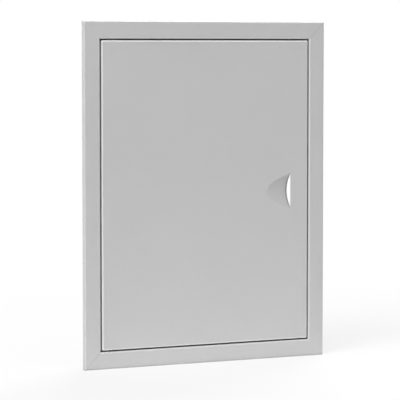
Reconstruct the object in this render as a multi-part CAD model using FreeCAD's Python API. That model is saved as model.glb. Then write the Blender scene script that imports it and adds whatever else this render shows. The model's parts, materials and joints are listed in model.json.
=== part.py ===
import FreeCAD, Part
import math
import os

# Flush access hatch: a mitred sheet-steel flange frame, a tray door on hidden pivots with a pressed
# finger pull, rubber seals on door stops, magnetic catches and a sprung pin that frees the door.
# Millimetres. +X is right, +Y goes into the wall, +Z is up. The origin is the centre of the wall
# opening in the plane of the wall's face, so the flange stands in front of it at negative Y.

V = FreeCAD.Vector

# Frame sheet: flange, turned-back outer edge and throat
frame_width = 340.0
frame_height = 440.0
flange_width = 22.0
return_depth = 7.0
frame_sheet = 1.0
frame_bend = 1.0
mitre_gap = 0.12

# Holes in the sides of the throat for the wall screws
wall_screw_hole = 5.0
wall_screw_spacing = 280.0
wall_screw_inset = 7.0

# Corner brackets and their blind rivets
corner_leg = 24.0
corner_width = 12.0
corner_sheet = 1.5
corner_bend = 1.0
corner_inset = 2.0
corner_clearance = 0.7
rivet_diameter = 3.2
rivet_head_step = 1.6
rivet_head_height = 1.1
rivet_head_round = 1.0
rivet_bulge_step = 0.8
rivet_bulge_length = 1.6
rivet_bulge_round = 0.7
rivet_mandrel = 1.8
rivet_spacing = 9.0
rivet_from_tip = 5.0
rivet_clearance = 0.05

# Door tray
door_gap = 1.9
door_depth = 16.0
door_sheet = 1.0
door_bend = 1.0
door_lip = 11.0
hinge_side_depth = 10.0
hinge_notch = 8.0

# Finger pull: a shallow scoop pressed into the door's face, with a crescent opening along one side;
# the gap is the crescent's width at the middle
pull_height = 44.6
pull_length = 35.0
pull_depth = 6.0
pull_gap = 3.1
pull_setback = 25.2
pull_bend = 0.6

# Door stops and the hollow seals on them
stop_leg = 13.0
stop_foot = 8.0
stop_sheet = 1.0
stop_bend = 0.6
seal_width = 9.0
seal_height = 6.0
seal_wall = 1.3
seal_flat = 0.5
seal_inset = 2.5
seal_clearance = 0.3
end_clearance = 0.3

# Hidden pivot hinge
pivot_from_edge = 11.0
pivot_from_face = 6.0
pin_diameter = 4.0
pin_clearance = 0.06
pin_tip_setback = 0.5
pin_chamfer = 0.5
bush_wall = 1.0
bush_flange_step = 1.9
bush_clearance = 0.04
bearing_clearance = 0.3
pivot_plate_length = 24.0
pivot_plate_width = 14.0
pivot_plate_sheet = 2.0
pivot_plate_round = 2.0
pivot_plate_clearance = 0.2

# Brackets on the hinge side of the door, and the fixed lower pin
door_bracket_sheet = 1.5
door_bracket_bend = 1.0
door_bracket_clearance = 0.2
pivot_bracket_leg = 30.0
pin_head_step = 1.5
pin_head_height = 1.5
pin_head_round = 0.6

# Sprung upper pin
pin_bracket_drop = 9.0
pin_bracket_height = 37.0
clip_diameter = 8.0
clip_sheet = 0.8
clip_groove_depth = 0.4
clip_clearance = 0.05
clip_seat_gap = 0.3
spring_wire = 0.7
spring_turns = 9
spring_clearance = 0.35
spring_seat_gap = 0.3
handle_drop = 3.0
handle_bend = 5.0
handle_length = 16.0
grip_wall = 1.5
grip_length = 13.0
grip_end = 2.0
grip_round = 1.2
grip_clearance = 0.03

# Two magnetic catches on the closing side, clear of the finger pull
catch_spacing = 220.0
catch_length = 46.0
catch_body_length = 30.0
catch_height = 14.0
catch_depth = 16.0
catch_ear = 3.0
catch_ear_round = 3.0
catch_body_round = 1.5
catch_clearance = 0.1
catch_gap = 0.3
magnet_thickness = 6.0
magnet_depth = 12.0
magnet_length = 23.6
pole_sheet = 1.2
pole_depth = 13.5
pole_proud = 1.0
screw_diameter = 3.4
screw_head_step = 1.6
screw_head_height = 2.4
screw_head_round = 1.6
screw_point = 1.2
screw_reach = 2.0
screw_slot_width = 0.9
screw_slot_depth = 1.2
screw_slot_length = 4.2
screw_clearance = 0.1

# Lengths under this count as nothing
touch = 0.001

# Places that follow from the sizes above
front_y = -return_depth
throat_x = frame_width / 2 - flange_width
throat_z = frame_height / 2 - flange_width
frame_fold = frame_bend + frame_sheet

door_x = throat_x - door_gap
door_z = throat_z - door_gap
door_back_y = front_y + door_depth
door_fold = door_bend + door_sheet
slot_x = door_x - pull_setback

pivot_x = -door_x + pivot_from_edge
pivot_y = front_y + pivot_from_face
pin_radius = pin_diameter / 2
bore_radius = pin_radius + pin_clearance
bush_radius = bore_radius + bush_wall
groove_radius = pin_radius - clip_groove_depth
plate_z = throat_z + frame_sheet
pin_tip_z = plate_z + pivot_plate_sheet - pin_tip_setback
swing_radius = math.hypot(pivot_from_edge, hinge_side_depth - pivot_from_face)

stop_y = door_back_y + seal_clearance + seal_height
corner_y = stop_y + stop_foot + corner_clearance
back_y = corner_y + corner_width + corner_inset
frame_depth = back_y - front_y
catch_y = door_back_y + catch_gap + pole_proud
catch_x = throat_x - catch_height / 2
catch_screw_offset = (catch_body_length + catch_length) / 4

door_bracket_x = -door_x + door_sheet
door_bracket_width = 2 * (pivot_from_face - door_fold - door_bracket_clearance)
upper_ear_z = door_z - pin_bracket_drop
lower_ear_z = upper_ear_z - pin_bracket_height
clip_z = upper_ear_z - door_bracket_sheet - clip_seat_gap - clip_sheet
handle_z = lower_ear_z - handle_drop - handle_bend


# Shape helpers

def corner_points(before, corner, after, radius):
    """Start, middle and end of the arc that rounds one corner of an outline."""
    point = V(corner[0], corner[1], 0)
    back = (V(before[0], before[1], 0) - point).normalize()
    ahead = (V(after[0], after[1], 0) - point).normalize()
    half_angle = back.getAngle(ahead) / 2
    middle = (back + ahead).normalize()
    reach = radius / math.tan(half_angle)
    near = radius / math.sin(half_angle) - radius
    return point + back * reach, point + middle * near, point + ahead * reach


def outline_face(corners, place):
    """Flat face inside an outline of (u, v, corner radius), put in space by place(u, v)."""
    edges = []
    stretches = []
    for index, corner in enumerate(corners):
        before = corners[index - 1]
        after = corners[(index + 1) % len(corners)]
        if corner[2] > 0:
            start, middle, end = corner_points(before, corner, after, corner[2])
            places = [place(p.x, p.y) for p in (start, middle, end)]
            edges.append((Part.Arc(*places).toShape(), places[0], places[2]))
        else:
            spot = place(corner[0], corner[1])
            edges.append((None, spot, spot))
    for index, (arc, start, end) in enumerate(edges):
        last_end = edges[index - 1][2]
        if (start - last_end).Length > touch:
            stretches.append(Part.LineSegment(last_end, start).toShape())
        if arc:
            stretches.append(arc)
    return Part.Face(Part.Wire(stretches))


def block(x_range, y_range, z_range):
    """Box between two limits on each axis."""
    size = [high - low for low, high in (x_range, y_range, z_range)]
    return Part.makeBox(size[0], size[1], size[2], V(x_range[0], y_range[0], z_range[0]))


def turned(corners, base, direction):
    """Solid of revolution from an outline of (radius, height, corner radius), set along a direction."""
    face = outline_face(corners, lambda radius, height: V(radius, 0, height))
    solid = face.revolve(V(0, 0, 0), V(0, 0, 1), 360)
    solid.Placement = FreeCAD.Placement(base, FreeCAD.Rotation(V(0, 0, 1), direction))
    return solid


def upside_down(shape):
    """The same piece mirrored from the top of the hatch to the bottom."""
    return shape.mirror(V(0, 0, 0), V(0, 0, 1))


def on_side(side, along, inward, y):
    """Point a distance inward from the throat's face on one of its four sides."""
    places = {
        "top": V(along, y, throat_z - inward),
        "bottom": V(along, y, inward - throat_z),
        "left": V(inward - throat_x, y, along),
        "right": V(throat_x - inward, y, along),
    }
    return places[side]


def side_bar(side, corners, start, end):
    """Bar of one section that runs along a side of the throat, from start to end."""
    face = outline_face(corners, lambda inward, y: on_side(side, start, inward, y))
    return face.extrude(on_side(side, end, 0, 0) - on_side(side, start, 0, 0))


# Holes and fasteners that line up through several pieces

def rivet_places():
    """Head seat and outward direction of every corner rivet."""
    places = []
    y = corner_y + corner_width / 2
    for right in (-1, 1):
        for up in (-1, 1):
            for step in (0, 1):
                from_corner = corner_leg - rivet_from_tip - step * rivet_spacing
                side_seat = V(right * (throat_x - corner_sheet), y, up * (throat_z - from_corner))
                end_seat = V(right * (throat_x - from_corner), y, up * (throat_z - corner_sheet))
                places.append((side_seat, V(right, 0, 0)))
                places.append((end_seat, V(0, 0, up)))
    return places


def catch_screw_places():
    """Head seats of the catch screws, which run outward through the right side."""
    y = catch_y + catch_depth / 2
    x = throat_x - catch_ear
    levels = [up * catch_spacing / 2 for up in (-1, 1)]
    return [V(x, y, level + end * catch_screw_offset) for level in levels for end in (-1, 1)]


def bush_hole(up):
    """Hole for a bush through the throat and the pivot plate behind it."""
    base = V(pivot_x, pivot_y, up * (throat_z - frame_sheet))
    depth = 3 * frame_sheet + pivot_plate_sheet
    return Part.makeCylinder(bush_radius + bush_clearance, depth, base, V(0, 0, up))


def frame_holes():
    """Every hole through the throat: rivets, wall screws, catch screws and hinge bushes."""
    holes = []
    rivet_grip = corner_sheet + frame_sheet
    for seat, outward in rivet_places():
        holes.append(Part.makeCylinder(rivet_diameter / 2 + rivet_clearance, 2 * rivet_grip, seat, outward))
    for right in (-1, 1):
        for up in (-1, 1):
            spot = V(right * throat_x, back_y - wall_screw_inset, up * wall_screw_spacing / 2)
            spot -= V(right * frame_sheet, 0, 0)
            holes.append(Part.makeCylinder(wall_screw_hole / 2, 3 * frame_sheet, spot, V(right, 0, 0)))
    for seat in catch_screw_places():
        radius = screw_diameter / 2 + screw_clearance
        holes.append(Part.makeCylinder(radius, catch_ear + 2 * frame_sheet, seat, V(1, 0, 0)))
    return holes + [bush_hole(-1), bush_hole(1)]


def make_rivets():
    """Blind rivets: domed head inside, bulge outside, with the snapped mandrel's hole in the head."""
    grip = corner_sheet + frame_sheet
    shank = rivet_diameter / 2
    head = shank + rivet_head_step
    bulge = shank + rivet_bulge_step
    hollow = -rivet_head_height / 2
    corners = [
        (0, hollow, 0),
        (rivet_mandrel / 2, hollow, 0),
        (rivet_mandrel / 2, -rivet_head_height, 0),
        (head, -rivet_head_height, rivet_head_round),
        (head, 0, 0),
        (shank, 0, 0),
        (shank, grip, 0),
        (bulge, grip, 0),
        (bulge, grip + rivet_bulge_length, rivet_bulge_round),
        (0, grip + rivet_bulge_length, 0),
    ]
    return Part.Compound([turned(corners, seat, outward) for seat, outward in rivet_places()])


# Frame

def make_frame_member(length, reach, turn):
    """One mitred side of the frame: outer edge, flange and throat, turned to its place."""
    corners = [
        (0, 0, 0),
        (0, front_y, frame_fold),
        (flange_width, front_y, frame_fold),
        (flange_width, back_y, 0),
        (flange_width - frame_sheet, back_y, 0),
        (flange_width - frame_sheet, front_y + frame_sheet, frame_bend),
        (frame_sheet, front_y + frame_sheet, frame_bend),
        (frame_sheet, 0, 0),
    ]
    section = outline_face(corners, lambda inward, y: V(-length / 2, y, reach - inward))
    bar = section.extrude(V(length, 0, 0))
    mitre_shift = mitre_gap / math.sqrt(2)
    outer = length / 2 + frame_sheet - mitre_shift
    inner = length / 2 - flange_width - frame_sheet - mitre_shift
    low = reach - flange_width - frame_sheet
    high = reach + frame_sheet
    wedge_corners = [(-outer, high, 0), (outer, high, 0), (inner, low, 0), (-inner, low, 0)]
    wedge = outline_face(wedge_corners, lambda x, z: V(x, front_y - frame_sheet, z))
    wedge = wedge.extrude(V(0, frame_depth + 2 * frame_sheet, 0))
    member = bar.common(wedge)
    member.rotate(V(0, 0, 0), V(0, 1, 0), turn)
    return member.cut(frame_holes())


def make_corner_bracket(right, up):
    """Angle bracket riveted into one corner of the throat."""
    corners = [
        (0, 0, corner_sheet + corner_bend),
        (corner_leg, 0, 0),
        (corner_leg, corner_sheet, 0),
        (corner_sheet, corner_sheet, corner_bend),
        (corner_sheet, corner_leg, 0),
        (0, corner_leg, 0),
    ]
    face = outline_face(corners, lambda u, v: V(right * (throat_x - u), corner_y, up * (throat_z - v)))
    return face.extrude(V(0, corner_width, 0)).cut(frame_holes())


def make_stop(side, start, end):
    """Angle strip in the throat that the door closes against."""
    corners = [
        (0, stop_y + stop_foot, 0),
        (0, stop_y, stop_sheet + stop_bend),
        (stop_leg, stop_y, 0),
        (stop_leg, stop_y + stop_sheet, 0),
        (stop_sheet, stop_y + stop_sheet, stop_bend),
        (stop_sheet, stop_y + stop_foot, 0),
    ]
    return side_bar(side, corners, start, end)


def make_seal(side, start, end):
    """Hollow D-shaped rubber strip on the front of a stop."""
    def section(wall):
        low = seal_inset + wall
        high = seal_inset + seal_width - wall
        base = stop_y - wall
        crown = stop_y - seal_height + wall
        rounding = min(seal_width / 2, seal_height) - seal_flat - wall
        return [(low, base, 0), (low, crown, rounding), (high, crown, rounding), (high, base, 0)]
    body = side_bar(side, section(0), start, end)
    return body.cut(side_bar(side, section(seal_wall), start, end))


# Door

def make_tray():
    """Door sheet folded back on all sides, with lips on three of them and a short hinge side."""
    outer = block((-door_x, door_x), (front_y, door_back_y), (-door_z, door_z))
    outer = outer.makeFillet(door_fold, outer.Edges)
    inner_x = door_x - door_sheet
    inner_z = door_z - door_sheet
    inner = block((-inner_x, inner_x), (front_y + door_sheet, door_back_y - door_sheet), (-inner_z, inner_z))
    inner = inner.makeFillet(door_bend, inner.Edges)
    tray = outer.cut(inner)
    past = door_back_y + door_sheet
    window_z = door_z - door_lip
    window = block((-door_x - door_sheet, door_x - door_lip), (door_back_y - 2 * door_sheet, past),
                   (-window_z, window_z))
    hinge_side_y = front_y + hinge_side_depth
    notch_corners = [
        (-door_x - door_sheet, hinge_side_y, 0),
        (-door_x, hinge_side_y, 0),
        (-door_x + hinge_notch, door_back_y, 0),
        (-door_x + hinge_notch, past, 0),
        (-door_x - door_sheet, past, 0),
    ]
    notch = outline_face(notch_corners, lambda x, y: V(x, y, -door_z - door_sheet))
    notch = notch.extrude(V(0, 0, 2 * (door_z + door_sheet)))
    pin_hole = Part.makeCylinder(bore_radius, 2 * door_z, V(pivot_x, pivot_y, -door_z), V(0, 0, 1))
    return tray.cut([window, notch, pin_hole])


def make_door():
    """Tray with the finger pull pressed in along a sloping round trough and opened at its deep end."""
    slope = math.atan2(pull_depth, pull_length)
    sagitta = pull_depth * math.cos(slope)
    radius = ((pull_height / 2) ** 2 + sagitta ** 2) / (2 * sagitta)
    along = V(math.cos(slope), math.sin(slope), 0)
    deep_end = V(slot_x, front_y + pull_depth - radius / math.cos(slope), 0)
    base = deep_end - along * (2 * pull_length)
    trough_length = 3 * pull_length
    trough = Part.makeCylinder(radius, trough_length, base, along)
    skin = Part.makeCylinder(radius + door_sheet, trough_length, base, along)
    across = (slot_x - 2 * pull_length, slot_x)
    tall = (-pull_height, pull_height)
    cut_room = block(across, (front_y - door_sheet, front_y + 2 * pull_depth), tall)
    skin_room = block(across, (front_y, front_y + 2 * pull_depth), tall)
    scoop = skin.cut(trough).common(skin_room)
    door = make_tray().cut(trough.common(cut_room)).fuse(scoop).removeSplitter()
    door = door.makeFillet(pull_bend + door_sheet, rim_edges(door, front_y))
    door = door.makeFillet(pull_bend, rim_edges(door, front_y + door_sheet))
    return door.cut(pull_crescent())


def pull_crescent():
    """Opening between the slot's straight edge and the scoop's bowed lip."""
    bow = ((pull_height / 2) ** 2 + pull_gap ** 2) / (2 * pull_gap)
    start = front_y - door_sheet
    length = 2 * pull_depth + 2 * door_sheet
    round_bar = Part.makeCylinder(bow, length, V(slot_x + bow - pull_gap, start, 0), V(0, 1, 0))
    across = (slot_x - 2 * pull_gap, slot_x)
    tall = (-pull_height, pull_height)
    return round_bar.common(block(across, (start, start + length), tall))


def rim_edges(door, y):
    """Edges where the finger pull's scoop leaves one face of the door sheet."""
    edges = []
    for edge in door.Edges:
        box = edge.BoundBox
        in_face = abs(box.YMin - y) < touch and abs(box.YMax - y) < touch
        in_pull = slot_x - 2 * pull_length < box.XMin < slot_x - pull_length / 2
        if in_face and in_pull and box.XMax < slot_x + touch:
            edges.append(edge)
    return edges


def ear_end(z):
    """Round end of a bracket's ear, centred on the pivot."""
    return Part.makeCylinder(door_bracket_width / 2, door_bracket_sheet, V(pivot_x, pivot_y, z))


def door_bracket(corners, ears):
    """Folded bracket on the inside of the door's hinge side, with round ears bored for the pin."""
    half = door_bracket_width / 2
    strip = outline_face(corners, lambda u, z: V(door_bracket_x + u, pivot_y - half, z))
    strip = strip.extrude(V(0, door_bracket_width, 0))
    bracket = strip.fuse([ear_end(z) for z in ears]).removeSplitter()
    bore = Part.makeCylinder(bore_radius, 2 * door_z, V(pivot_x, pivot_y, -door_z))
    return bracket.cut(bore)


def make_pin_bracket():
    """U-shaped bracket that guides the sprung upper pin."""
    tip = pivot_x - door_bracket_x
    sheet = door_bracket_sheet
    fold = door_bracket_bend + sheet
    corners = [
        (0, lower_ear_z, fold),
        (tip, lower_ear_z, 0),
        (tip, lower_ear_z + sheet, 0),
        (sheet, lower_ear_z + sheet, door_bracket_bend),
        (sheet, upper_ear_z - sheet, door_bracket_bend),
        (tip, upper_ear_z - sheet, 0),
        (tip, upper_ear_z, 0),
        (0, upper_ear_z, fold),
    ]
    return door_bracket(corners, [lower_ear_z, upper_ear_z - sheet])


def make_pivot_bracket():
    """Angle bracket that carries the fixed lower pin."""
    tip = pivot_x - door_bracket_x
    sheet = door_bracket_sheet
    floor = -door_z + door_sheet
    corners = [
        (0, floor, door_bracket_bend + sheet),
        (tip, floor, 0),
        (tip, floor + sheet, 0),
        (sheet, floor + sheet, door_bracket_bend),
        (sheet, floor + pivot_bracket_leg, 0),
        (0, floor + pivot_bracket_leg, 0),
    ]
    return door_bracket(corners, [floor])


# Hinge

def make_bush():
    """Flanged plastic bush in the top of the throat, which keeps the door's end gap."""
    flange_z = throat_z - (door_gap - bearing_clearance)
    corners = [
        (bore_radius, flange_z, 0),
        (bush_radius + bush_flange_step, flange_z, 0),
        (bush_radius + bush_flange_step, throat_z, 0),
        (bush_radius, throat_z, 0),
        (bush_radius, plate_z + pivot_plate_sheet, 0),
        (bore_radius, plate_z + pivot_plate_sheet, 0),
    ]
    return turned(corners, V(pivot_x, pivot_y, 0), V(0, 0, 1))


def make_pivot_plate():
    """Stiffening plate behind the throat that backs the bush."""
    half = pivot_plate_length / 2
    low_y = front_y + frame_fold + pivot_plate_clearance
    high_y = low_y + pivot_plate_width
    corners = [
        (pivot_x - half, low_y, pivot_plate_round),
        (pivot_x + half, low_y, pivot_plate_round),
        (pivot_x + half, high_y, pivot_plate_round),
        (pivot_x - half, high_y, pivot_plate_round),
    ]
    plate = outline_face(corners, lambda x, y: V(x, y, plate_z)).extrude(V(0, 0, pivot_plate_sheet))
    return plate.cut(bush_hole(1))


def make_lower_pin():
    """Headed pin fixed in the pivot bracket, standing down into the lower bush."""
    seat = door_z - door_sheet - door_bracket_sheet
    head = pin_radius + pin_head_step
    corners = [
        (0, seat - pin_head_height, 0),
        (head, seat - pin_head_height, pin_head_round),
        (head, seat, 0),
        (pin_radius, seat, 0),
        (pin_radius, pin_tip_z, pin_chamfer),
        (0, pin_tip_z, 0),
    ]
    return turned(corners, V(pivot_x, pivot_y, 0), V(0, 0, -1))


def make_upper_pin():
    """Sliding rod with a bevelled tip, a groove for its clip and a bent handle."""
    bend_z = handle_z + handle_bend
    top = V(pivot_x, pivot_y, pin_tip_z)
    bend_start = V(pivot_x, pivot_y, bend_z)
    knee = handle_bend * (1 - math.sqrt(0.5))
    bend_middle = V(pivot_x + knee, pivot_y, handle_z + knee)
    bend_end = V(pivot_x + handle_bend, pivot_y, handle_z)
    handle_tip = bend_end + V(handle_length, 0, 0)
    path = Part.Wire([
        Part.LineSegment(top, bend_start).toShape(),
        Part.Arc(bend_start, bend_middle, bend_end).toShape(),
        Part.LineSegment(bend_end, handle_tip).toShape(),
    ])
    ring = Part.Wire(Part.makeCircle(pin_radius, top, V(0, 0, -1)))
    rod = path.makePipeShell([ring], True, False)
    tip_corners = [
        (pin_radius, pin_tip_z - pin_chamfer, 0),
        (pin_diameter, pin_tip_z - pin_chamfer, 0),
        (pin_diameter, pin_tip_z + pin_chamfer, 0),
        (pin_radius - pin_chamfer, pin_tip_z + pin_chamfer, 0),
        (pin_radius - pin_chamfer, pin_tip_z, 0),
    ]
    tip_cut = turned(tip_corners, V(pivot_x, pivot_y, 0), V(0, 0, 1))
    groove_low = clip_z - clip_clearance
    groove_high = clip_z + clip_sheet + clip_clearance
    groove_corners = [
        (groove_radius, groove_low, 0),
        (pin_diameter, groove_low, 0),
        (pin_diameter, groove_high, 0),
        (groove_radius, groove_high, 0),
    ]
    groove = turned(groove_corners, V(pivot_x, pivot_y, 0), V(0, 0, 1))
    return rod.cut([tip_cut, groove])


def make_clip():
    """Open retaining clip in the rod's groove, which the spring pushes up."""
    base = V(pivot_x, pivot_y, clip_z)
    inner = groove_radius + clip_clearance
    clip = Part.makeCylinder(clip_diameter / 2, clip_sheet, base)
    bore = Part.makeCylinder(inner, clip_sheet, base)
    mouth = block((pivot_x, pivot_x + clip_diameter), (pivot_y - inner, pivot_y + inner),
                  (clip_z - clip_sheet, clip_z + 2 * clip_sheet))
    return clip.cut([bore, mouth])


def make_grip():
    """Soft sleeve over the end of the pin's handle."""
    handle_tip = pivot_x + handle_bend + handle_length
    sleeve_end = handle_tip + grip_end
    bore = pin_radius + grip_clearance
    outside = bore + grip_wall
    low = -grip_length
    corners = [
        (bore, low, 0),
        (outside, low, grip_round),
        (outside, 0, grip_round),
        (0, 0, 0),
        (0, -grip_end + grip_clearance, 0),
        (bore, -grip_end + grip_clearance, 0),
    ]
    return turned(corners, V(sleeve_end, pivot_y, handle_z), V(1, 0, 0))


def biarc(start, start_way, end, end_way):
    """Two arcs that join two points smoothly with the given directions."""
    span = end - start
    both = start_way + end_way
    spread = 2 * (1 - start_way.dot(end_way))
    lean = span.dot(both)
    reach = (math.sqrt(lean * lean + spread * span.dot(span)) - lean) / spread
    knots = [start + start_way * reach, end - end_way * reach]
    joint = (knots[0] + knots[1]) * 0.5
    arcs = []
    for first, knot, last in ((start, knots[0], joint), (joint, knots[1], end)):
        middle = (first + last) * 0.5
        half_chord = (last - first).Length / 2
        rise = (knot - middle).Length
        bow = half_chord * math.tan(math.atan2(rise, half_chord) / 2)
        arcs.append(Part.Arc(first, middle + (knot - middle) * (bow / rise), last).toShape())
    return arcs


def make_spring():
    """Compression spring round the rod, between the lower ear and the clip."""
    coil_radius = pin_radius + spring_clearance + spring_wire / 2
    low = lower_ear_z + door_bracket_sheet + spring_seat_gap + spring_wire / 2
    high = clip_z - spring_seat_gap - spring_wire / 2
    pitch = (high - low) / spring_turns

    def coil_point(turn):
        angle = 2 * math.pi * turn
        return V(pivot_x + coil_radius * math.cos(angle), pivot_y + coil_radius * math.sin(angle),
                 low + pitch * turn)

    def coil_way(turn):
        angle = 2 * math.pi * turn
        circle = 2 * math.pi * coil_radius
        return V(-circle * math.sin(angle), circle * math.cos(angle), pitch).normalize()

    quarters = 4 * spring_turns
    first = coil_point(0)
    last = coil_point(spring_turns)
    edges = [Part.LineSegment(first - coil_way(0) * spring_wire, first).toShape()]
    for quarter in range(quarters):
        turn = quarter / 4
        edges += biarc(coil_point(turn), coil_way(turn), coil_point(turn + 0.25), coil_way(turn + 0.25))
    edges.append(Part.LineSegment(last, last + coil_way(spring_turns) * spring_wire).toShape())
    ring = Part.makeCircle(spring_wire / 2, first - coil_way(0) * spring_wire, coil_way(0))
    spring = Part.Wire(edges).makePipeShell([Part.Wire(ring)], True, False)

    samples = 24
    points = [coil_point(step / samples) for step in range(samples * spring_turns + 1)]
    apart = [
        (points[i] - points[j]).Length
        for i in range(len(points))
        for j in range(i + samples // 2, len(points))
    ]
    print("spring: least gap to itself", round(min(apart) - spring_wire, 3), "mm")
    return spring


# Catch

def make_catch_housing(level):
    """Moulded catch body with two screw ears and a pocket open towards the door."""
    low = level - catch_length / 2
    high = level + catch_length / 2
    ear_corners = [
        (catch_y, low, catch_ear_round),
        (catch_y + catch_depth, low, catch_ear_round),
        (catch_y + catch_depth, high, catch_ear_round),
        (catch_y, high, catch_ear_round),
    ]
    ears = outline_face(ear_corners, lambda y, z: V(throat_x - catch_ear, y, z)).extrude(V(catch_ear, 0, 0))
    low = level - catch_body_length / 2
    high = level + catch_body_length / 2
    body_corners = [
        (throat_x, low, 0),
        (throat_x, high, 0),
        (throat_x - catch_height, high, catch_body_round),
        (throat_x - catch_height, low, catch_body_round),
    ]
    body = outline_face(body_corners, lambda x, z: V(x, catch_y, z)).extrude(V(0, catch_depth, 0))
    half_x = magnet_thickness / 2 + pole_sheet + 2 * catch_clearance
    half_z = magnet_length / 2 + catch_clearance
    pocket_back = catch_y - pole_proud + pole_depth + catch_clearance
    pocket = block((catch_x - half_x, catch_x + half_x), (catch_y, pocket_back),
                   (level - half_z, level + half_z))
    return body.fuse(ears).removeSplitter().cut([pocket] + frame_holes())


def make_magnet(level):
    """Ferrite block between the pole plates."""
    half_x = magnet_thickness / 2
    half_z = magnet_length / 2
    back = catch_y - pole_proud + pole_depth
    return block((catch_x - half_x, catch_x + half_x), (back - magnet_depth, back),
                 (level - half_z, level + half_z))


def make_pole_plates(level):
    """Two steel plates that carry the magnet's pull to the door's lip."""
    half_z = magnet_length / 2
    front = catch_y - pole_proud
    inner = magnet_thickness / 2 + catch_clearance
    outer = inner + pole_sheet
    plates = []
    for side in (-1, 1):
        limits = sorted((catch_x + side * inner, catch_x + side * outer))
        plates.append(block(limits, (front, front + pole_depth), (level - half_z, level + half_z)))
    return Part.Compound(plates)


def make_catch_screws():
    """Pan-head cross-slot screws that hold the catches to the throat."""
    shank = screw_diameter / 2
    head = shank + screw_head_step
    end = catch_ear + frame_sheet + screw_reach
    corners = [
        (0, -screw_head_height, 0),
        (head, -screw_head_height, screw_head_round),
        (head, 0, 0),
        (shank, 0, 0),
        (shank, end - screw_point, 0),
        (0, end, 0),
    ]
    screws = []
    for seat in catch_screw_places():
        top = seat.x - screw_head_height
        depth = (top - screw_slot_depth, top + screw_slot_depth)
        wide = screw_slot_width / 2
        long = screw_slot_length / 2
        slot = block(depth, (seat.y - wide, seat.y + wide), (seat.z - long, seat.z + long))
        cross = block(depth, (seat.y - long, seat.y + long), (seat.z - wide, seat.z + wide))
        screws.append(turned(corners, seat, V(1, 0, 0)).cut([slot, cross]))
    return Part.Compound(screws)


# All nodes

def make_nodes():
    """Every piece of the hatch by its node name."""
    nodes = {
        "frame_top": make_frame_member(frame_width, frame_height / 2, 0),
        "frame_bottom": make_frame_member(frame_width, frame_height / 2, 180),
        "frame_left": make_frame_member(frame_height, frame_width / 2, -90),
        "frame_right": make_frame_member(frame_height, frame_width / 2, 90),
        "corner_rivets": make_rivets(),
    }
    for up, level in ((1, "top"), (-1, "bottom")):
        for right, side in ((-1, "left"), (1, "right")):
            nodes["corner_bracket_" + level + "_" + side] = make_corner_bracket(right, up)

    side_end = throat_z - stop_leg - end_clearance
    long_end = throat_x - end_clearance
    seal_hinge_end = pivot_x + swing_radius + seal_clearance
    seal_corner = throat_x - seal_inset
    seal_side_end = throat_z - seal_inset - seal_width - end_clearance
    for level in ("top", "bottom"):
        nodes["stop_" + level] = make_stop(level, -long_end, long_end)
        nodes["seal_" + level] = make_seal(level, seal_hinge_end, seal_corner)
    nodes["stop_left"] = make_stop("left", -side_end, side_end)
    catch_top = catch_spacing / 2 + catch_length / 2 + end_clearance
    catch_foot = catch_spacing / 2 - catch_length / 2 - end_clearance
    nodes["stop_right_upper"] = make_stop("right", catch_top, side_end)
    nodes["stop_right_middle"] = make_stop("right", -catch_foot, catch_foot)
    nodes["stop_right_lower"] = make_stop("right", -side_end, -catch_top)
    nodes["seal_right_upper"] = make_seal("right", catch_top, seal_side_end)
    nodes["seal_right_middle"] = make_seal("right", -catch_foot, catch_foot)
    nodes["seal_right_lower"] = make_seal("right", -seal_side_end, -catch_top)

    for part, level in (("upper", catch_spacing / 2), ("lower", -catch_spacing / 2)):
        nodes["catch_housing_" + part] = make_catch_housing(level)
        nodes["catch_magnet_" + part] = make_magnet(level)
        nodes["catch_pole_plates_" + part] = make_pole_plates(level)
    nodes["catch_screws"] = make_catch_screws()

    nodes["pivot_plate_top"] = make_pivot_plate()
    nodes["pivot_plate_bottom"] = upside_down(make_pivot_plate())
    nodes["hinge_bush_top"] = make_bush()
    nodes["hinge_bush_bottom"] = upside_down(make_bush())

    nodes["door_panel"] = make_door()
    nodes["pin_bracket"] = make_pin_bracket()
    nodes["pivot_bracket"] = make_pivot_bracket()
    nodes["hinge_pin_bottom"] = make_lower_pin()
    nodes["pin_spring"] = make_spring()
    nodes["hinge_pin_top"] = make_upper_pin()
    nodes["pin_clip"] = make_clip()
    nodes["pin_grip"] = make_grip()
    return nodes


os.makedirs("parts", exist_ok=True)
for name, shape in make_nodes().items():
    shape.exportStep("parts/" + name + ".step")
    box = shape.BoundBox
    print(name, len(shape.Solids), "solid,", round(shape.Volume), "mm3, valid", shape.isValid(),
          [round(v, 2) for v in (box.XMin, box.XMax, box.YMin, box.YMax, box.ZMin, box.ZMax)])
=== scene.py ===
import json
import math

import bmesh
import bpy
from bpy.props import FloatProperty, FloatVectorProperty, IntProperty, PointerProperty
from mathutils import Matrix, Vector


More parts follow.
